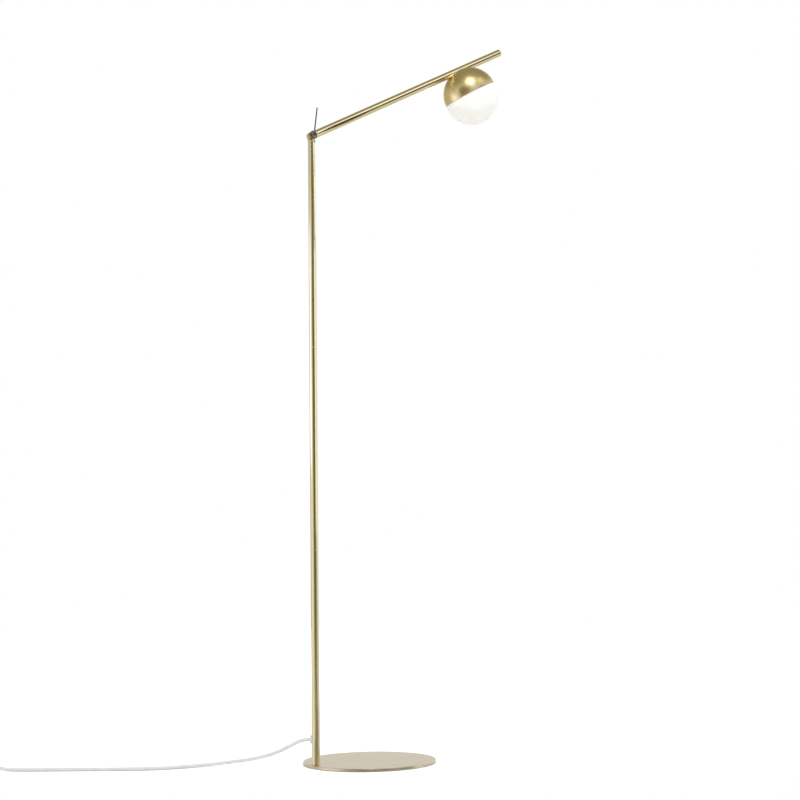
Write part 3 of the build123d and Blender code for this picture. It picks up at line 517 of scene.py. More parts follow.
# Brush marks along X, shared by the brushed metals
brush, brush_given, brush_end = open_group(
    "brush_marks", "ShaderNodeTree", {"Coordinates": "Vector", "Fineness": "Float"}, {"Marks": "Float"}
)
brush_way = directed(brush, "MULTIPLY", "Vector", brush_given["Coordinates"], (BRUSH_STRETCH, 1, 1))
brush_noise = added(
    brush, "ShaderNodeTexNoise", {"Vector": brush_way, "Scale": brush_given["Fineness"], "Detail": 2.0}
)
fed(brush, brush_end, {"Marks": ranged(brush, brush_noise.outputs["Fac"], 0, 1, *BRUSH_RANGE)})


def along_brush(tree, place, turn):
    """Object coordinates turned so that X runs along the brush marks."""
    return added(tree, "ShaderNodeMapping", {"Vector": place, "Rotation": turn}).outputs["Vector"]


def round_axis(tree, place, centre, turn):
    """Coordinates for marks that run round an axis: the angle, the radius and the height."""
    axis = {"Vector": place, "Location": centre, "Rotation": turn}
    local = added(tree, "ShaderNodeMapping", axis, vector_type="TEXTURE").outputs["Vector"]
    parts = added(tree, "ShaderNodeSeparateXYZ", {0: local}).outputs
    angle = computed(tree, "ARCTAN2", parts["Y"], parts["X"])
    level = directed(tree, "MULTIPLY", "Vector", local, LEVEL_PART)
    radius = directed(tree, "LENGTH", "Value", level)
    return added(tree, "ShaderNodeCombineXYZ", {"X": angle, "Y": radius, "Z": parts["Z"]}).outputs[0]


def brass_finish(
    name, rough, spread, depth, fineness, turn=(0, 0, 0), centre=None,
    dark=BRASS_DARK, light=BRASS_LIGHT, tint=(1, 1, 1), lacquer=0.6, lacquer_index=1.5,
):
    """Brass plate under clear lacquer, brushed along a direction or round an axis."""
    coat = {"Coat Weight": lacquer, "Coat IOR": lacquer_index, "Coat Roughness": 0.2}
    finish, tree, shader, place = new_finish(name, {"Metallic": 1.0, "Specular Tint": tint, **coat})
    if centre is None:
        way = along_brush(tree, place, turn)
    else:
        way = round_axis(tree, place, centre, turn)
    marks = grouped(tree, brush, way, size=fineness)
    touch = grouped(tree, handling, place, size=BRASS_TOUCH)
    colour = two_tones(tree, marks, dark, light)
    brushed = ranged(tree, marks, rough + spread, rough - spread)
    worn = computed(tree, "ADD", brushed, ranged(tree, touch, *BRASS_WEAR))
    relief = bumped(tree, marks, depth, BRUSH_BUMP)
    fed(tree, shader, {"Base Color": colour, "Roughness": worn, "Normal": relief})
    return finish


def rod(radius, low, high):
    """The outline of a round bar between two heights."""
    return [(0, low), (radius, low), (radius, high), (0, high)]


def eased(corners, ease, steps=5):
    """An outline with some of its corners rounded: ease gives a radius by corner number."""
    outline = []
    for i, corner in enumerate(corners):
        here = Vector(corner)
        if i not in ease:
            outline.append(here)
            continue
        before = (Vector(corners[i - 1]) - here).normalized()
        after = (Vector(corners[(i + 1) % len(corners)]) - here).normalized()
        half = before.angle(after) / 2
        centre = here + (before + after).normalized() * ease[i] / math.sin(half)
        first = here + before * ease[i] / math.tan(half) - centre
        last = here + after * ease[i] / math.tan(half) - centre
        bend = first.angle_signed(last)
        for k in range(steps + 1):
            outline.append(centre + Matrix.Rotation(-bend * k / steps, 2) @ first)
    return outline


def meshed(form, name):
    """The plain mesh of a form that has been worked on."""
    mesh = bpy.data.meshes.new(name)
    form.to_mesh(mesh)
    form.free()
    return mesh


def turned(name, outline, place, sides):
    """A turned solid: a closed outline of radius and height in millimetres, spun about Z."""
    form = bmesh.new()
    angles = [2 * math.pi * i / sides for i in range(sides)]
    rings = []
    for radius, height in outline:
        r, z = radius * MM, height * MM
        if radius < ON_AXIS:
            ring = [(0, 0, z)]
        else:
            ring = [(r * math.cos(angle), r * math.sin(angle), z) for angle in angles]
        rings.append([form.verts.new(point) for point in ring])
    for low, high in zip(rings, rings[1:] + rings[:1]):
        for i in range(sides):
            j = (i + 1) % sides
            corners = [low[i % len(low)], low[j % len(low)], high[j % len(high)], high[i % len(high)]]
            face = list(dict.fromkeys(corners))
            if len(face) > 2:
                form.faces.new(face)
    bmesh.ops.recalc_face_normals(form, faces=form.faces)
    form.transform(place)
    return meshed(form, name)


def plain_mesh(piece, name):
    """The mesh of a piece with its modifiers worked in; the piece itself is removed."""
    depsgraph = bpy.context.evaluated_depsgraph_get()
    mesh = bpy.data.meshes.new_from_object(piece.evaluated_get(depsgraph))
    bpy.data.objects.remove(piece)
    mesh.name = name
    return mesh


def carved(mesh, *cutters):
    """A mesh with others taken out of it, one after another."""
    for cutter in cutters:
        solid = put_in_scene("solid", mesh)
        tool = put_in_scene("tool", cutter)
        cut = solid.modifiers.new("cut", "BOOLEAN")
        cut.object = tool
        cut.operation = "DIFFERENCE"
        cut.solver = "EXACT"
        mesh = plain_mesh(solid, mesh.name)
        bpy.data.objects.remove(tool)
    return mesh


def settled(name, mesh, finish, body, node, angle=ROUND_ANGLE, bevel=0.0):
    """A finished piece: smooth where it is round, on its body and in its node's place."""
    mesh.materials.clear()
    mesh.materials.append(finish)
    mesh.shade_smooth()
    mesh.set_sharp_from_angle(angle=math.radians(angle))
    piece = put_in_scene(name, mesh)
    if bevel:
        ease = piece.modifiers.new("eased_edges", "BEVEL")
        ease.width = bevel * MM
        ease.segments = 2
        ease.limit_method = "ANGLE"
        ease.angle_limit = math.radians(EASED_ANGLE)
    even = piece.modifiers.new("even_faces", "WEIGHTED_NORMAL")
    even.keep_sharp = True
    even.weight = 100
    carried(piece, body, node)
    return piece


def smoothed(node, finish, body, name, bevel=0.0):
    """A merged copy of a node's mesh with smooth round faces and, where asked, eased edges."""
    form = bmesh.new()
    form.from_mesh(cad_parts[node].data)
    bmesh.ops.remove_doubles(form, verts=form.verts, dist=MERGE_GAP)
    bmesh.ops.dissolve_limit(
        form, angle_limit=math.radians(FLAT_ANGLE), verts=form.verts, edges=form.edges
    )
    return settled(name, meshed(form, name), finish, body, node, NODE_ANGLE, bevel)


def refinished(piece, finish, chosen):
    """A piece with a second finish on some of its faces."""
    piece.data.materials.append(finish)
    for face in piece.data.polygons:
        if chosen(face):
            face.material_index = 1


def on_base_edge(face):
    """Whether a face belongs to the base's rim."""
    return abs(face.normal.z) < EDGE_SLOPE and face.center.xy.length > (BASE_R - 2 * BASE_EDGE) * MM


base_brass = brass_finish(
    "base_brass", rough=0.34, spread=0.05, depth=0.00002, fineness=900.0, turn=(0, 0, BASE_BRUSH),
    dark=(0.53, 0.46, 0.31), light=(0.65, 0.585, 0.415), tint=BASE_TINT, lacquer=0.3,
)
edge_brass = brass_finish(
    "edge_brass", rough=0.24, spread=0.03, depth=0.000005, fineness=1600.0, centre=(0, 0, 0),
    dark=(0.62, 0.56, 0.39), light=(0.70, 0.64, 0.47),
)
base_outline = eased(rod(BASE_R, BASE_LOW, BASE_TOP), {1: PAD_EDGE, 2: BASE_EDGE})
sink_outline = [
    (0, BASE_LOW - CUT_SPARE),
    (BASE_SINK_R, BASE_LOW - CUT_SPARE),
    (BASE_SINK_R, BASE_LOW + BASE_SINK),
    (BASE_HOLE_R, BASE_LOW + BASE_SINK),
    (BASE_HOLE_R, BASE_TOP + CUT_SPARE),
    (0, BASE_TOP + CUT_SPARE),
]
base_mesh = carved(
    turned("base_disc", base_outline, Matrix(), sides=256),
    turned("base_sink", sink_outline, pole_place, sides=48),
)
base_disc = settled("base_disc", base_mesh, base_brass, "stand", "base_plate")
refinished(base_disc, edge_brass, on_base_edge)
pad_foam = moulded(
    "pad_foam", (0.018, 0.018, 0.018), (0.032, 0.032, 0.031),
    rough=0.8, fineness=900.0, depth=0.0002, specular=0.3,
)
smoothed("base_pad", pad_foam, "stand", "non_slip_pad")


# Pole: three steel tubes, 15 mm thick, brass plated and lacquered, brushed along their length.
# Bushes in their ends and hollow nipples screw them together, so each joint shows as a fine line.
TUBE_R = 7.5
BORE_R = 6.5
TUBE_END_EDGE = 0.3
POLE_TUBES = ("lower_tube", "middle_tube", "upper_tube")
POLE_CUTS = (BASE_TOP, 390.5, 770.5, 1178.0)
GLAND_HOLE_R = 3.95
GLAND_HOLE_DEEP = 15.0
HIDDEN_STEEL = (
    "base_screw", "foot_plug",
    "lower_tube_bush", "middle_tube_lower_bush", "middle_tube_upper_bush", "upper_tube_bush",
    "lower_joint_nipple", "upper_joint_nipple",
    "arm_insert", "switch_pin", "switch_screws",
)
pole_brass = brass_finish(
    "pole_brass", rough=0.17, spread=0.02, depth=0.000001, fineness=3600.0, turn=(0, math.radians(90), 0),
    lacquer=1.0, lacquer_index=1.8,
)
zinc_plate, zinc_tree, zinc_shader, zinc_at = new_finish("zinc_plate", {"Metallic": 1.0})
zinc_cells = grouped(zinc_tree, grain, zinc_at, size=260.0)
zinc_touch = grouped(zinc_tree, handling, zinc_at, size=90.0)
zinc_colour = two_tones(zinc_tree, zinc_cells, (0.46, 0.46, 0.45), (0.58, 0.58, 0.56))
zinc_rough = ranged(zinc_tree, zinc_touch, 0.32, 0.45)
fed(zinc_tree, zinc_shader, {"Base Color": zinc_colour, "Roughness": zinc_rough})


def tube_mesh(name, low, high, place):
    """A length of tube, with its ends eased outside."""
    corners = [(BORE_R, low), (TUBE_R, low), (TUBE_R, high), (BORE_R, high)]
    return turned(name, eased(corners, {1: TUBE_END_EDGE, 2: TUBE_END_EDGE}, steps=3), place, sides=96)


def refaced(node, finish):
    """A hidden piece that keeps its node's mesh and gets its finish."""
    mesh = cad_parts[node].data
    mesh.materials.clear()
    mesh.materials.append(finish)


gland_place = (
    cord_place @ Matrix.Translation((0, 0, GLAND_Z * MM)) @ Matrix.Rotation(math.radians(90), 4, "Y")
)
gland_hole = turned("gland_hole", rod(GLAND_HOLE_R, 0, GLAND_HOLE_DEEP), gland_place, sides=48)
for node, low, high in zip(POLE_TUBES, POLE_CUTS, POLE_CUTS[1:]):
    section = tube_mesh("pole_" + node, low, high, pole_place)
    if node == "lower_tube":
        section = carved(section, gland_hole)
    settled("pole_" + node, section, pole_brass, "stand", node)
for node in HIDDEN_STEEL:
    refaced(node, zinc_plate)


# Gland: a small oval bushing moulded in the cord's pale vinyl. Its spigot snaps through the
# tube's wall and keeps the cord off the edge of the hole.
smoothed("cord_gland", cord_vinyl, "stand", "cord_bushing")


# Inner cables: the same two-core lead, without its outer sheath, inside the pole and the arm.
# They are drawn in before the tubes are screwed together, and end in the hinge's wire pockets.
HINGE = Vector((POLE_X, 0, 1190.0))
ARM_TILT = math.radians(30.3)
CABLE_R = 2.0
CABLE_ASIDE = 3.05
arm_way = Vector((math.cos(ARM_TILT), 0, math.sin(ARM_TILT)))
arm_up = Vector((-math.sin(ARM_TILT), 0, math.cos(ARM_TILT)))
arm_place = axes_at(HINGE * MM, arm_way, arm_up, (0, -1, 0))
cable_vinyl = moulded(
    "cable_vinyl", (0.55, 0.55, 0.53), (0.62, 0.62, 0.60), rough=0.45, fineness=1600.0, depth=0.00003
)
gland_way = cord_place.to_3x3() @ Vector((1, 0, 0))
gland_middle = Vector((POLE_X, 0, GLAND_Z))
pole_cable_route = [
    gland_middle + gland_way * 5.3,
    gland_middle + gland_way * 0.2,
    (POLE_X, 0, GLAND_Z + 8),
    (POLE_X, 0, 390),
    (POLE_X, 0, 770),
    (POLE_X, 0, 1090),
    (POLE_X, CABLE_ASIDE, 1134),
    (POLE_X, CABLE_ASIDE, 1160),
    (POLE_X, CABLE_ASIDE, 1186.2),
]
pole_cable = cord_curve("pole_inner_cable", Matrix(), pole_cable_route, CABLE_R, cable_vinyl)
arm_cable_route = [
    (3.8, 0, CABLE_ASIDE),
    (30, 0, CABLE_ASIDE),
    (56, 0, CABLE_ASIDE),
    (100, 1, 0),
    (240, 1, 0),
    (393, 1, 0),
    (400, 1, 0),
    (400, -7, 0),
    (400, -16, 0),
]
arm_cable = cord_curve("arm_inner_cable", arm_place, arm_cable_route, CABLE_R, cable_vinyl)
for piece, node, body in ((pole_cable, "pole_cable", "stand"), (arm_cable, "arm_cable", "arm")):
    carried(piece, body, node)


# Hinge: two alike knuckles in cast brass lap by half their width. A friction washer lies
# between them, and a clamp screw with a washer, a dished hub and a thin lever squeezes them.
EYE_R = 8.3
EYE_FRONT = -3.2
HUB_DISH_R = 3.0
LEVER_R = 1.25
LEVER_SEAT = 2.2
LEVER_REACH = 56.0
LEVER_TIP = 0.9
LEVER_FORWARD = 10.6
LEVER_LEAN = math.radians(7.0)


def hinge_metal(name, rough, spread, dark=BRASS_DARK, light=BRASS_LIGHT):
    """A metal with fine turning marks round the hinge's axis."""
    return brass_finish(
        name, rough, spread, depth=0.000005, fineness=1800.0, turn=(math.radians(90), 0, 0),
        centre=HINGE * MM, dark=dark, light=light,
    )


def in_eye(face):
    """Whether a face is on the front of the arm's half, round the hinge's axis, where the dark reflection
    is painted.
    """
    offset = face.center - HINGE * MM
    return offset.y < EYE_FRONT * MM and offset.xz.length < EYE_R * MM


def in_dish(face):
    """Whether a face is in the dished middle of the clamp's hub, where the shade is painted."""
    return (face.center - HINGE * MM).xz.length < HUB_DISH_R * MM


# Painted dark reflection: the washer, the hub and the front of the arm's half get darker brass than the
# knuckles, for the dark room that their front faces mirror
hinge_brass = hinge_metal("hinge_brass", rough=0.24, spread=0.03)
hub_dark_reflection = hinge_metal(
    "hub_dark_reflection", rough=0.24, spread=0.03, dark=(0.40, 0.33, 0.18), light=(0.52, 0.44, 0.25)
)
clamp_dark_reflection = hinge_metal(
    "clamp_dark_reflection", rough=0.32, spread=0.04, dark=(0.17, 0.13, 0.06), light=(0.25, 0.195, 0.095)
)
dish_painted_shade = hinge_metal(
    "dish_painted_shade", rough=0.4, spread=0.04, dark=(0.07, 0.052, 0.016), light=(0.10, 0.076, 0.026)
)
smoothed("pole_knuckle", hinge_brass, "stand", "hinge_pole_half", bevel=0.12)
arm_half = smoothed("arm_knuckle", hinge_brass, "arm", "hinge_arm_half", bevel=0.12)

# The front of the arm's half is darkened all round, like the washer on it: a painted dark reflection of
# the room in front
eye_form = bmesh.new()
eye_form.from_mesh(arm_half.data)
bmesh.ops.bisect_plane(
    eye_form,
    geom=[*eye_form.verts, *eye_form.edges, *eye_form.faces],
    plane_co=(0, EYE_FRONT * MM, 0),
    plane_no=(0, 1, 0),
)
eye_form.to_mesh(arm_half.data)
eye_form.free()
refinished(arm_half, clamp_dark_reflection, in_eye)
smoothed("clamp_washer", clamp_dark_reflection, "lever", "hinge_clamp_washer", bevel=0.1)
clamp_hub = smoothed("clamp_screw", hub_dark_reflection, "lever", "hinge_clamp_hub", bevel=0.1)
# Painted shade: the hub's dish is near black
refinished(clamp_hub, dish_painted_shade, in_dish)
washer_fibre = moulded(
    "washer_fibre", (0.05, 0.045, 0.04), (0.08, 0.07, 0.06),
    rough=0.7, fineness=2200.0, depth=0.00004, specular=0.3,
)
smoothed("friction_washer", washer_fibre, "stand", "hinge_friction_washer")
lever_steel, lever_tree, lever_shader, lever_at = new_finish("lever_steel", {"Metallic": 1.0})
lever_way = along_brush(lever_tree, lever_at, (0, math.radians(90) - LEVER_LEAN, 0))
lever_marks = grouped(lever_tree, brush, lever_way, size=2400.0)
lever_tones = ((0.11, 0.107, 0.092), (0.17, 0.165, 0.145))
toned(lever_tree, lever_shader, lever_marks, lever_tones, roughness=(0.38, 0.28))
lever_foot = (HINGE - Vector((0, LEVER_FORWARD, 0))) * MM
lever_place = Matrix.Translation(lever_foot) @ Matrix.Rotation(LEVER_LEAN, 4, "Y")
lever_outline = eased(rod(LEVER_R, LEVER_SEAT, LEVER_REACH), {2: LEVER_TIP}, steps=6)
lever_mesh = turned("hinge_lever", lever_outline, lever_place, sides=32)
settled("hinge_lever", lever_mesh, lever_steel, "lever", "lever_rod")


# Arm: one length of the same tube, brushed along its length, closed at its tip by a turned
# cap. A threaded bar inside it, over the head, takes the head's two screws.
ARM_TIP = 520.0
TUBE_START = 12.0
HEAD_ALONG = 400.0
HEAD_DROP = 54.5
END_CAP_T = 2.0
END_CAP_EDGE = 0.6
END_CAP_LIP = 0.2
END_SPIGOT_R = 6.45
END_SPIGOT = 8.0
SCREW_HOLE_R = 2.15
SCREW_PLACES = (-11.0, 11.0)
WIRE_SLOT = (-6.5, 2.7, -2.2, 2.2)
ARM_SCREW_REACH = (35.0, 54.5)
ARM_SLOT_REACH = (40.0, 52.0)
head_centre = (HINGE + arm_way * HEAD_ALONG - arm_up * HEAD_DROP) * MM
head_place = axes_at(head_centre, arm_way, (0, 1, 0), arm_up)
along_arm = arm_place @ Matrix.Rotation(math.radians(90), 4, "Y")
arm_brass = brass_finish(
    "arm_brass", rough=0.15, spread=0.02, depth=0.000001, fineness=3600.0, turn=(0, ARM_TILT, 0)
)


def head_block(name, low, high):
    """A block between two corners, in the head's frame."""
    form = bmesh.new()
    bmesh.ops.create_cube(form, size=1.0)
    size = Vector(high) - Vector(low)
    middle = (Vector(high) + Vector(low)) / 2
    form.transform(head_place @ Matrix.Translation(middle * MM) @ Matrix.Diagonal((*(size * MM), 1)))
    return meshed(form, name)


def head_holes(screw_reach, slot_reach):
    """Bars for the head's two screw holes and a block for the way of its wires."""
    outline = rod(SCREW_HOLE_R, *screw_reach)
    places = [head_place @ Matrix.Translation((shift * MM, 0, 0)) for shift in SCREW_PLACES]
    bars = [turned("screw_hole", outline, place, sides=24) for place in places]
    near, far, front, back = WIRE_SLOT
    low, high = slot_reach
    return [*bars, head_block("wire_slot", (near, front, low), (far, back, high))]


arm_mesh = carved(
    tube_mesh("arm_tube_length", TUBE_START, ARM_TIP, along_arm),
    *head_holes(ARM_SCREW_REACH, ARM_SLOT_REACH),
)
settled("arm_tube_length", arm_mesh, arm_brass, "arm", "arm_tube")
tip_outline = eased(
    [
        (0, ARM_TIP - END_SPIGOT),
        (END_SPIGOT_R, ARM_TIP - END_SPIGOT),
        (END_SPIGOT_R, ARM_TIP),
        (TUBE_R, ARM_TIP),
        (TUBE_R, ARM_TIP + END_CAP_T),
        (0, ARM_TIP + END_CAP_T),
    ],
    {3: END_CAP_LIP, 4: END_CAP_EDGE},
)
tip_mesh = turned("arm_tip_cap", tip_outline, along_arm, sides=96)
settled("arm_tip_cap", tip_mesh, arm_brass, "arm", "arm_end_cap")


# Head cap: a half ball spun from sheet brass, with a saddle pressed into its top so that the
# arm lies half in it. Two screws from inside clamp it to the arm.
BALL_R = 56.0
BALL_STEPS = 48
BALL_SIDES = 160
CAP_WALL = 1.2
CAP_RIM_EDGE = 0.5
CAP_BELOW = 0.5
CAP_ANGLE = 28.0
CAP_CUT_REACH = (40.0, 54.0)
SADDLE_R = 7.6
SADDLE_SPAN = (300.0, 500.0)
SEAT_LOW = (-17.0, -6.0, 43.5)
SEAT_HIGH = (17.0, 6.0, 50.0)
cap_brass = brass_finish(
    "cap_brass", rough=0.34, spread=0.03, depth=0.000002, fineness=2600.0, turn=(0, -ARM_TILT, 0),
    centre=head_centre, dark=(0.62, 0.49, 0.23), light=(0.70, 0.57, 0.29),
)


def arc(radius, middle, first, last, steps):
    """Points of an arc in an outline, about a height on the axis, from one angle to another."""
    angles = [first + (last - first) * k / steps for k in range(steps + 1)]
    return [(radius * math.cos(angle), middle + radius * math.sin(angle)) for angle in angles]


def half_ball(radius, low):
    """The outline of a solid half ball above a height."""
    return [(0, low), *arc(radius, 0, math.asin(low / radius), math.pi / 2, BALL_STEPS)]


def saddle_bar(name, radius):
    """A round bar along the arm, over the head."""
    return turned(name, rod(radius, *SADDLE_SPAN), along_arm, sides=96)


cap_hollow = carved(
    turned("cap_hollow", half_ball(BALL_R - CAP_WALL, -CAP_BELOW), head_place, BALL_SIDES),
    saddle_bar("trough", SADDLE_R + CAP_WALL),
    head_block("seat", SEAT_LOW, SEAT_HIGH),
)
cap_mesh = carved(
    turned("ball_cap", eased(half_ball(BALL_R, 0.0), {1: CAP_RIM_EDGE}), head_place, BALL_SIDES),
    cap_hollow,
    saddle_bar("saddle", SADDLE_R),
    *head_holes(CAP_CUT_REACH, CAP_CUT_REACH),
)
settled("ball_cap", cap_mesh, cap_brass, "arm", "head_cap", CAP_ANGLE)


# Lampholder and bulb: a bent steel bracket under the saddle carries a heat-proof holder on
# two side screws. A plug-in bulb with a frosted cover and rows of small diodes hangs from it.
BOARD_HALF = 0.6
DIODE_WIDE = 1.6
DIODE_THICK = 0.7
DIODE_TALL = 1.2
DIODE_ROWS = 7
DIODE_PITCH = 2.7
DIODE_APART = 3.6
DIODE_FIRST = -2.2
holder_moulding = moulded(
    "holder_moulding", (0.70, 0.69, 0.65), (0.76, 0.75, 0.71), rough=0.5, fineness=700.0, depth=0.00006
)
white_moulding = moulded(
    "white_moulding", (0.74, 0.74, 0.73), (0.80, 0.80, 0.79), rough=0.38, fineness=1100.0, depth=0.00005
)
board_lacquer = moulded(
    "board_lacquer", (0.62, 0.64, 0.62), (0.70, 0.72, 0.70), rough=0.35, fineness=500.0, depth=0.00003
)
diode_gel = moulded(
    "diode_gel", (0.80, 0.60, 0.12), (0.86, 0.68, 0.18), rough=0.3, fineness=900.0, depth=0.00003
)
bulb_frost, frost_tree, frost_shader, frost_at = new_finish(
    "bulb_frost", {"Transmission Weight": 0.6, "IOR": 1.45}
)
frost_grain = grouped(frost_tree, grain, frost_at, size=1500.0)
frost_tones = ((0.84, 0.84, 0.82), (0.90, 0.90, 0.88))
toned(frost_tree, frost_shader, frost_grain, frost_tones, roughness=(0.35, 0.5))
pin_nickel, nickel_tree, nickel_shader, nickel_at = new_finish("pin_nickel", {"Metallic": 1.0})
nickel_touch = grouped(nickel_tree, handling, nickel_at, size=300.0)
nickel_tones = ((0.56, 0.55, 0.52), (0.66, 0.65, 0.62))
toned(nickel_tree, nickel_shader, nickel_touch, nickel_tones, roughness=(0.14, 0.26))
for node, name in (
    ("head_screws", "cap_screws"),
    ("holder_screws", "holder_side_screws"),
    ("holder_bracket", "holder_strap"),
):
    smoothed(node, zinc_plate, "arm", name, bevel=0.12)
smoothed("lampholder", holder_moulding, "arm", "bulb_holder", bevel=0.2)
smoothed("bulb_base", white_moulding, "arm", "bulb_foot", bevel=0.2)
smoothed("bulb_cover", bulb_frost, "arm", "bulb_frosted_cover")
smoothed("bulb_pins", pin_nickel, "arm", "bulb_contact_pins")
smoothed("bulb_board", board_lacquer, "arm", "bulb_diode_board")


def repeated(tree, given, end, points, piece, scale=(1, 1, 1)):
    """The end of a geometry tree: a piece on each point, made real and given its finish."""
    copies = {"Points": points, "Instance": piece, "Scale": scale}
    instances = added(tree, "GeometryNodeInstanceOnPoints", copies).outputs[0]
    real = added(tree, "GeometryNodeRealizeInstances", {0: instances}).outputs[0]
    finished = added(tree, "GeometryNodeSetMaterial", {"Geometry": real, "Material": given["Finish"]})
    fed(tree, end, {"Geometry": finished.outputs[0]})


def grown(name, tree, values, place):
    """The plain mesh that a geometry tree makes from named values, put in its place."""
    seed = put_in_scene(name, bpy.data.meshes.new(name))
    maker = seed.modifiers.new(name, "NODES")
    maker.node_group = tree
    for socket in tree.interface.items_tree:
        if socket.name in values:
            maker[socket.identifier] = values[socket.name]
    mesh = plain_mesh(seed, name)
    mesh.transform(place)
    return mesh


# Diodes: two rows of small blocks on each face of the board
diode_tree, diode_given, diode_end = open_group(
    "diode_rows",
    "GeometryNodeTree",
    {"Rows": "Int", "Pitch": "Float", "Size": "Vector", "Finish": "Material"},
    {"Geometry": "Geometry"},
)
diode_gaps = computed(diode_tree, "SUBTRACT", diode_given["Rows"], 1.0)
diode_grid = added(
    diode_tree,
    "GeometryNodeMeshGrid",
    {
        "Vertices X": 2,
        "Size X": DIODE_APART * MM,
        "Vertices Y": diode_given["Rows"],
        "Size Y": computed(diode_tree, "MULTIPLY", diode_gaps, diode_given["Pitch"]),
    },
)
diode_block = added(diode_tree, "GeometryNodeMeshCube", {"Size": diode_given["Size"]})
repeated(diode_tree, diode_given, diode_end, diode_grid.outputs["Mesh"], diode_block.outputs["Mesh"])
diode_values = {
    "Rows": DIODE_ROWS,
    "Pitch": DIODE_PITCH * MM,
    "Size": (DIODE_WIDE * MM, DIODE_TALL * MM, DIODE_THICK * MM),
    "Finish": diode_gel,
}
diode_middle = DIODE_FIRST - DIODE_PITCH * (DIODE_ROWS - 1) / 2
for side, word in ((-1, "front"), (1, "back")):
    diode_place = (
        head_place
        @ Matrix.Translation((0, side * (BOARD_HALF + DIODE_THICK / 2) * MM, diode_middle * MM))
        @ Matrix.Rotation(math.radians(90), 4, "X")
    )
    diode_name = "bulb_diodes_" + word
    diodes = put_in_scene(diode_name, grown(diode_name, diode_tree, diode_values, diode_place))
    carried(diodes, "arm")


# Glass: a half ball blown in white opal glass, with a short straight band under the cap. Its
# ground neck screws into a moulded ring inside the cap, on a soft gasket.
GLASS_BAND = 8.0
GLASS_WALL = 3.0
GLASS_STEPS = 56
GLASS_DEEP = (0.006, 0.006, 0.006)
RIM_GAP = 0.12
RIM_EDGE = 0.5
RIM_ROUND = 0.15
NECK_R = 49.0
NECK_H = 9.0
NECK_EDGE = 0.6
ring_moulding = moulded(
    "ring_moulding", (0.66, 0.65, 0.61), (0.72, 0.71, 0.67), rough=0.5, fineness=800.0, depth=0.00005
)
smoothed("glass_ring", ring_moulding, "arm", "glass_screw_ring", bevel=0.2)
opal_glass, opal_tree, opal_shader, opal_at = new_finish(
    "opal_glass",
    {"IOR": 1.5, "Subsurface Weight": 0.35, "Subsurface Radius": GLASS_DEEP, "Subsurface Scale": 1.0},
)
opal_cloud = grouped(opal_tree, handling, opal_at, size=14.0)
opal_tones = ((0.965, 0.94, 0.87), (0.975, 0.955, 0.90))
toned(opal_tree, opal_shader, opal_cloud, opal_tones, roughness=(0.16, 0.24))
neck_inside_r = NECK_R - GLASS_WALL
glass_inside_r = BALL_R - GLASS_WALL
glass_outline = [
    *arc(BALL_R, -GLASS_BAND, -math.pi / 2, 0, GLASS_STEPS),
    (BALL_R, -RIM_GAP - RIM_EDGE),
    (BALL_R - RIM_ROUND, -RIM_GAP - RIM_ROUND),
    (BALL_R - RIM_EDGE, -RIM_GAP),
    (NECK_R, -RIM_GAP),
    (NECK_R, NECK_H - NECK_EDGE),
    (NECK_R - NECK_EDGE, NECK_H),
    (neck_inside_r + NECK_EDGE, NECK_H),
    (neck_inside_r, NECK_H - NECK_EDGE),
    (neck_inside_r, -RIM_GAP - GLASS_WALL),
    (glass_inside_r, -RIM_GAP - GLASS_WALL),
    *arc(glass_inside_r, -GLASS_BAND, 0, -math.pi / 2, BALL_STEPS),
]
glass_mesh = turned("opal_half_ball", glass_outline, head_place, BALL_SIDES)
settled("opal_half_ball", glass_mesh, opal_glass, "glass", "glass_shade")
gasket_silicone = moulded(
    "gasket_silicone", (0.62, 0.62, 0.60), (0.68, 0.68, 0.66), rough=0.55, fineness=900.0, depth=0.00004
)
smoothed("glass_gasket", gasket_silicone, "glass", "glass_seat_gasket")


# In-line switch: two moulded half shells screwed together round the cord, with a dished
# rocker on a steel pin and two brass contact strips inside.
contact_brass = brass_finish("contact_brass", rough=0.3, spread=0.04, depth=0.00001, fineness=1500.0)
switch_lower, switch_upper, switch_rocker = (
    smoothed(node, white_moulding, body, name, bevel)
    for node, body, name, bevel in (
        ("switch_lower_shell", "stand", "switch_bottom", 0.25),
        ("switch_upper_shell", "stand", "switch_top", 0.25),
        ("switch_rocker", "rocker", "switch_rocker_key", 0.35),
    )
)
refaced("switch_contacts", contact_brass)


# Strap: a black woven band, wrapped round all the turns of the spare cord and closed on
# itself, so that the coil can be opened again.
strap_weave, weave_tree, weave_shader, weave_at = new_finish("strap_weave", {"Roughness": 0.85})
weave_checks = added(weave_tree, "ShaderNodeTexChecker", {"Vector": weave_at, "Scale": 1800.0})
weave_threads = weave_checks.outputs["Fac"]
weave_colour = two_tones(weave_tree, weave_threads, (0.012, 0.012, 0.012), (0.03, 0.03, 0.03))
weave_relief = bumped(weave_tree, weave_threads, distance=0.0001, strength=0.6)
fed(weave_tree, weave_shader, {"Base Color": weave_colour, "Normal": weave_relief})
coil_strap = smoothed("coil_tie", strap_weave, "stand", "coil_strap", bevel=0.12)


# Plug: a flat two-pin plug moulded on the cord, with a tapered boot whose ribs let it bend,
# and two nickel-plated pins.
RIBS = 6
RIB_PITCH = 2.6
RIB_R = 0.55
RIB_START = 2.4
RIB_RING_R = 4.0
RIB_GROWTH = 0.04
plug_body = smoothed("plug_body", white_moulding, "stand", "plug_shell", bevel=0.2)
plug_boot = smoothed("plug_boot", white_moulding, "stand", "plug_taper")
plug_pins = smoothed("plug_pins", pin_nickel, "stand", "plug_contact_pins")

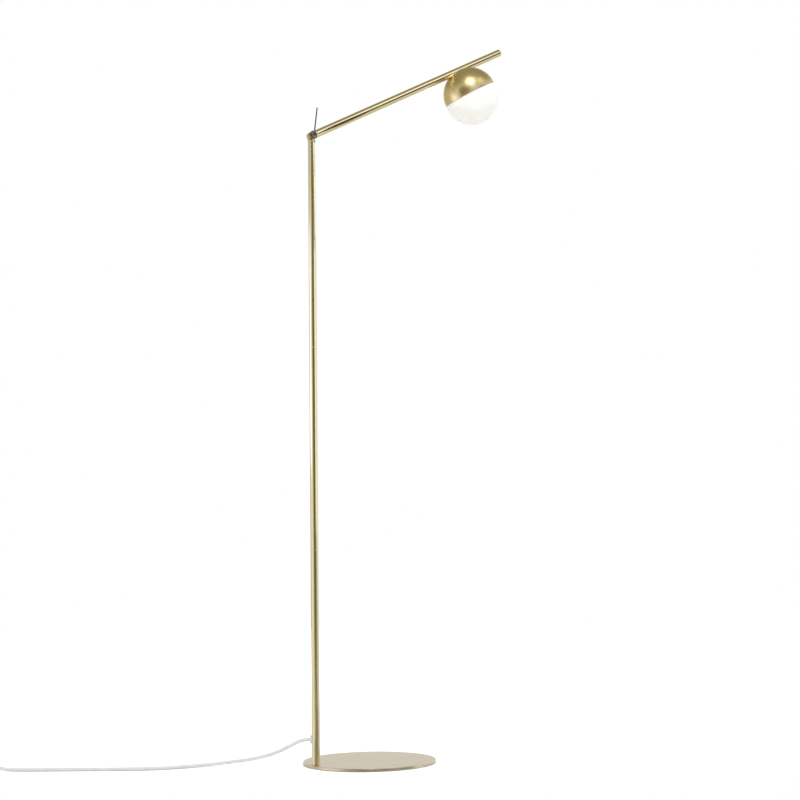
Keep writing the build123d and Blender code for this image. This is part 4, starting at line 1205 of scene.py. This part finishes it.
# Ribs: rings in a line along the boot, each a little wider than the one before
rib_tree, rib_given, rib_end = open_group(
    "boot_ribs",
    "GeometryNodeTree",
    {
        "Ribs": "Int", "Pitch": "Float", "First Radius": "Float",
        "Growth": "Float", "Rib Radius": "Float", "Finish": "Material",
    },
    {"Geometry": "Geometry"},
)
rib_step = added(rib_tree, "ShaderNodeCombineXYZ", {"Z": rib_given["Pitch"]}).outputs[0]
rib_line = added(rib_tree, "GeometryNodeMeshLine", {"Count": rib_given["Ribs"], "Offset": rib_step})
rib_ring = added(
    rib_tree, "GeometryNodeCurvePrimitiveCircle", {"Resolution": 40, "Radius": rib_given["First Radius"]}
)
rib_section = added(
    rib_tree, "GeometryNodeCurvePrimitiveCircle", {"Resolution": 10, "Radius": rib_given["Rib Radius"]}
)
rib_solid = added(
    rib_tree,
    "GeometryNodeCurveToMesh",
    {"Curve": rib_ring.outputs["Curve"], "Profile Curve": rib_section.outputs["Curve"]},
)
rib_index = rib_tree.nodes.new("GeometryNodeInputIndex").outputs[0]
rib_size = computed(rib_tree, "MULTIPLY_ADD", rib_index, rib_given["Growth"], 1.0)
rib_scale = added(rib_tree, "ShaderNodeCombineXYZ", {"X": rib_size, "Y": rib_size, "Z": 1.0}).outputs[0]
repeated(rib_tree, rib_given, rib_end, rib_line.outputs[0], rib_solid.outputs[0], rib_scale)
rib_values = {
    "Ribs": RIBS,
    "Pitch": RIB_PITCH * MM,
    "First Radius": RIB_RING_R * MM,
    "Growth": RIB_GROWTH,
    "Rib Radius": RIB_R * MM,
    "Finish": white_moulding,
}
rib_place = (
    cord_place
    @ Matrix.Translation((PLUG_START * MM, coil_last_y * MM, PLUG_AXIS * MM))
    @ Matrix.Rotation(math.radians(-90), 4, "Y")
    @ Matrix.Translation((0, 0, RIB_START * MM))
)
rib_mesh = grown("plug_taper_ribs", rib_tree, rib_values, rib_place)
rib_mesh.shade_smooth()
plug_ribs = put_in_scene("plug_taper_ribs", rib_mesh)
carried(plug_ribs, "stand")
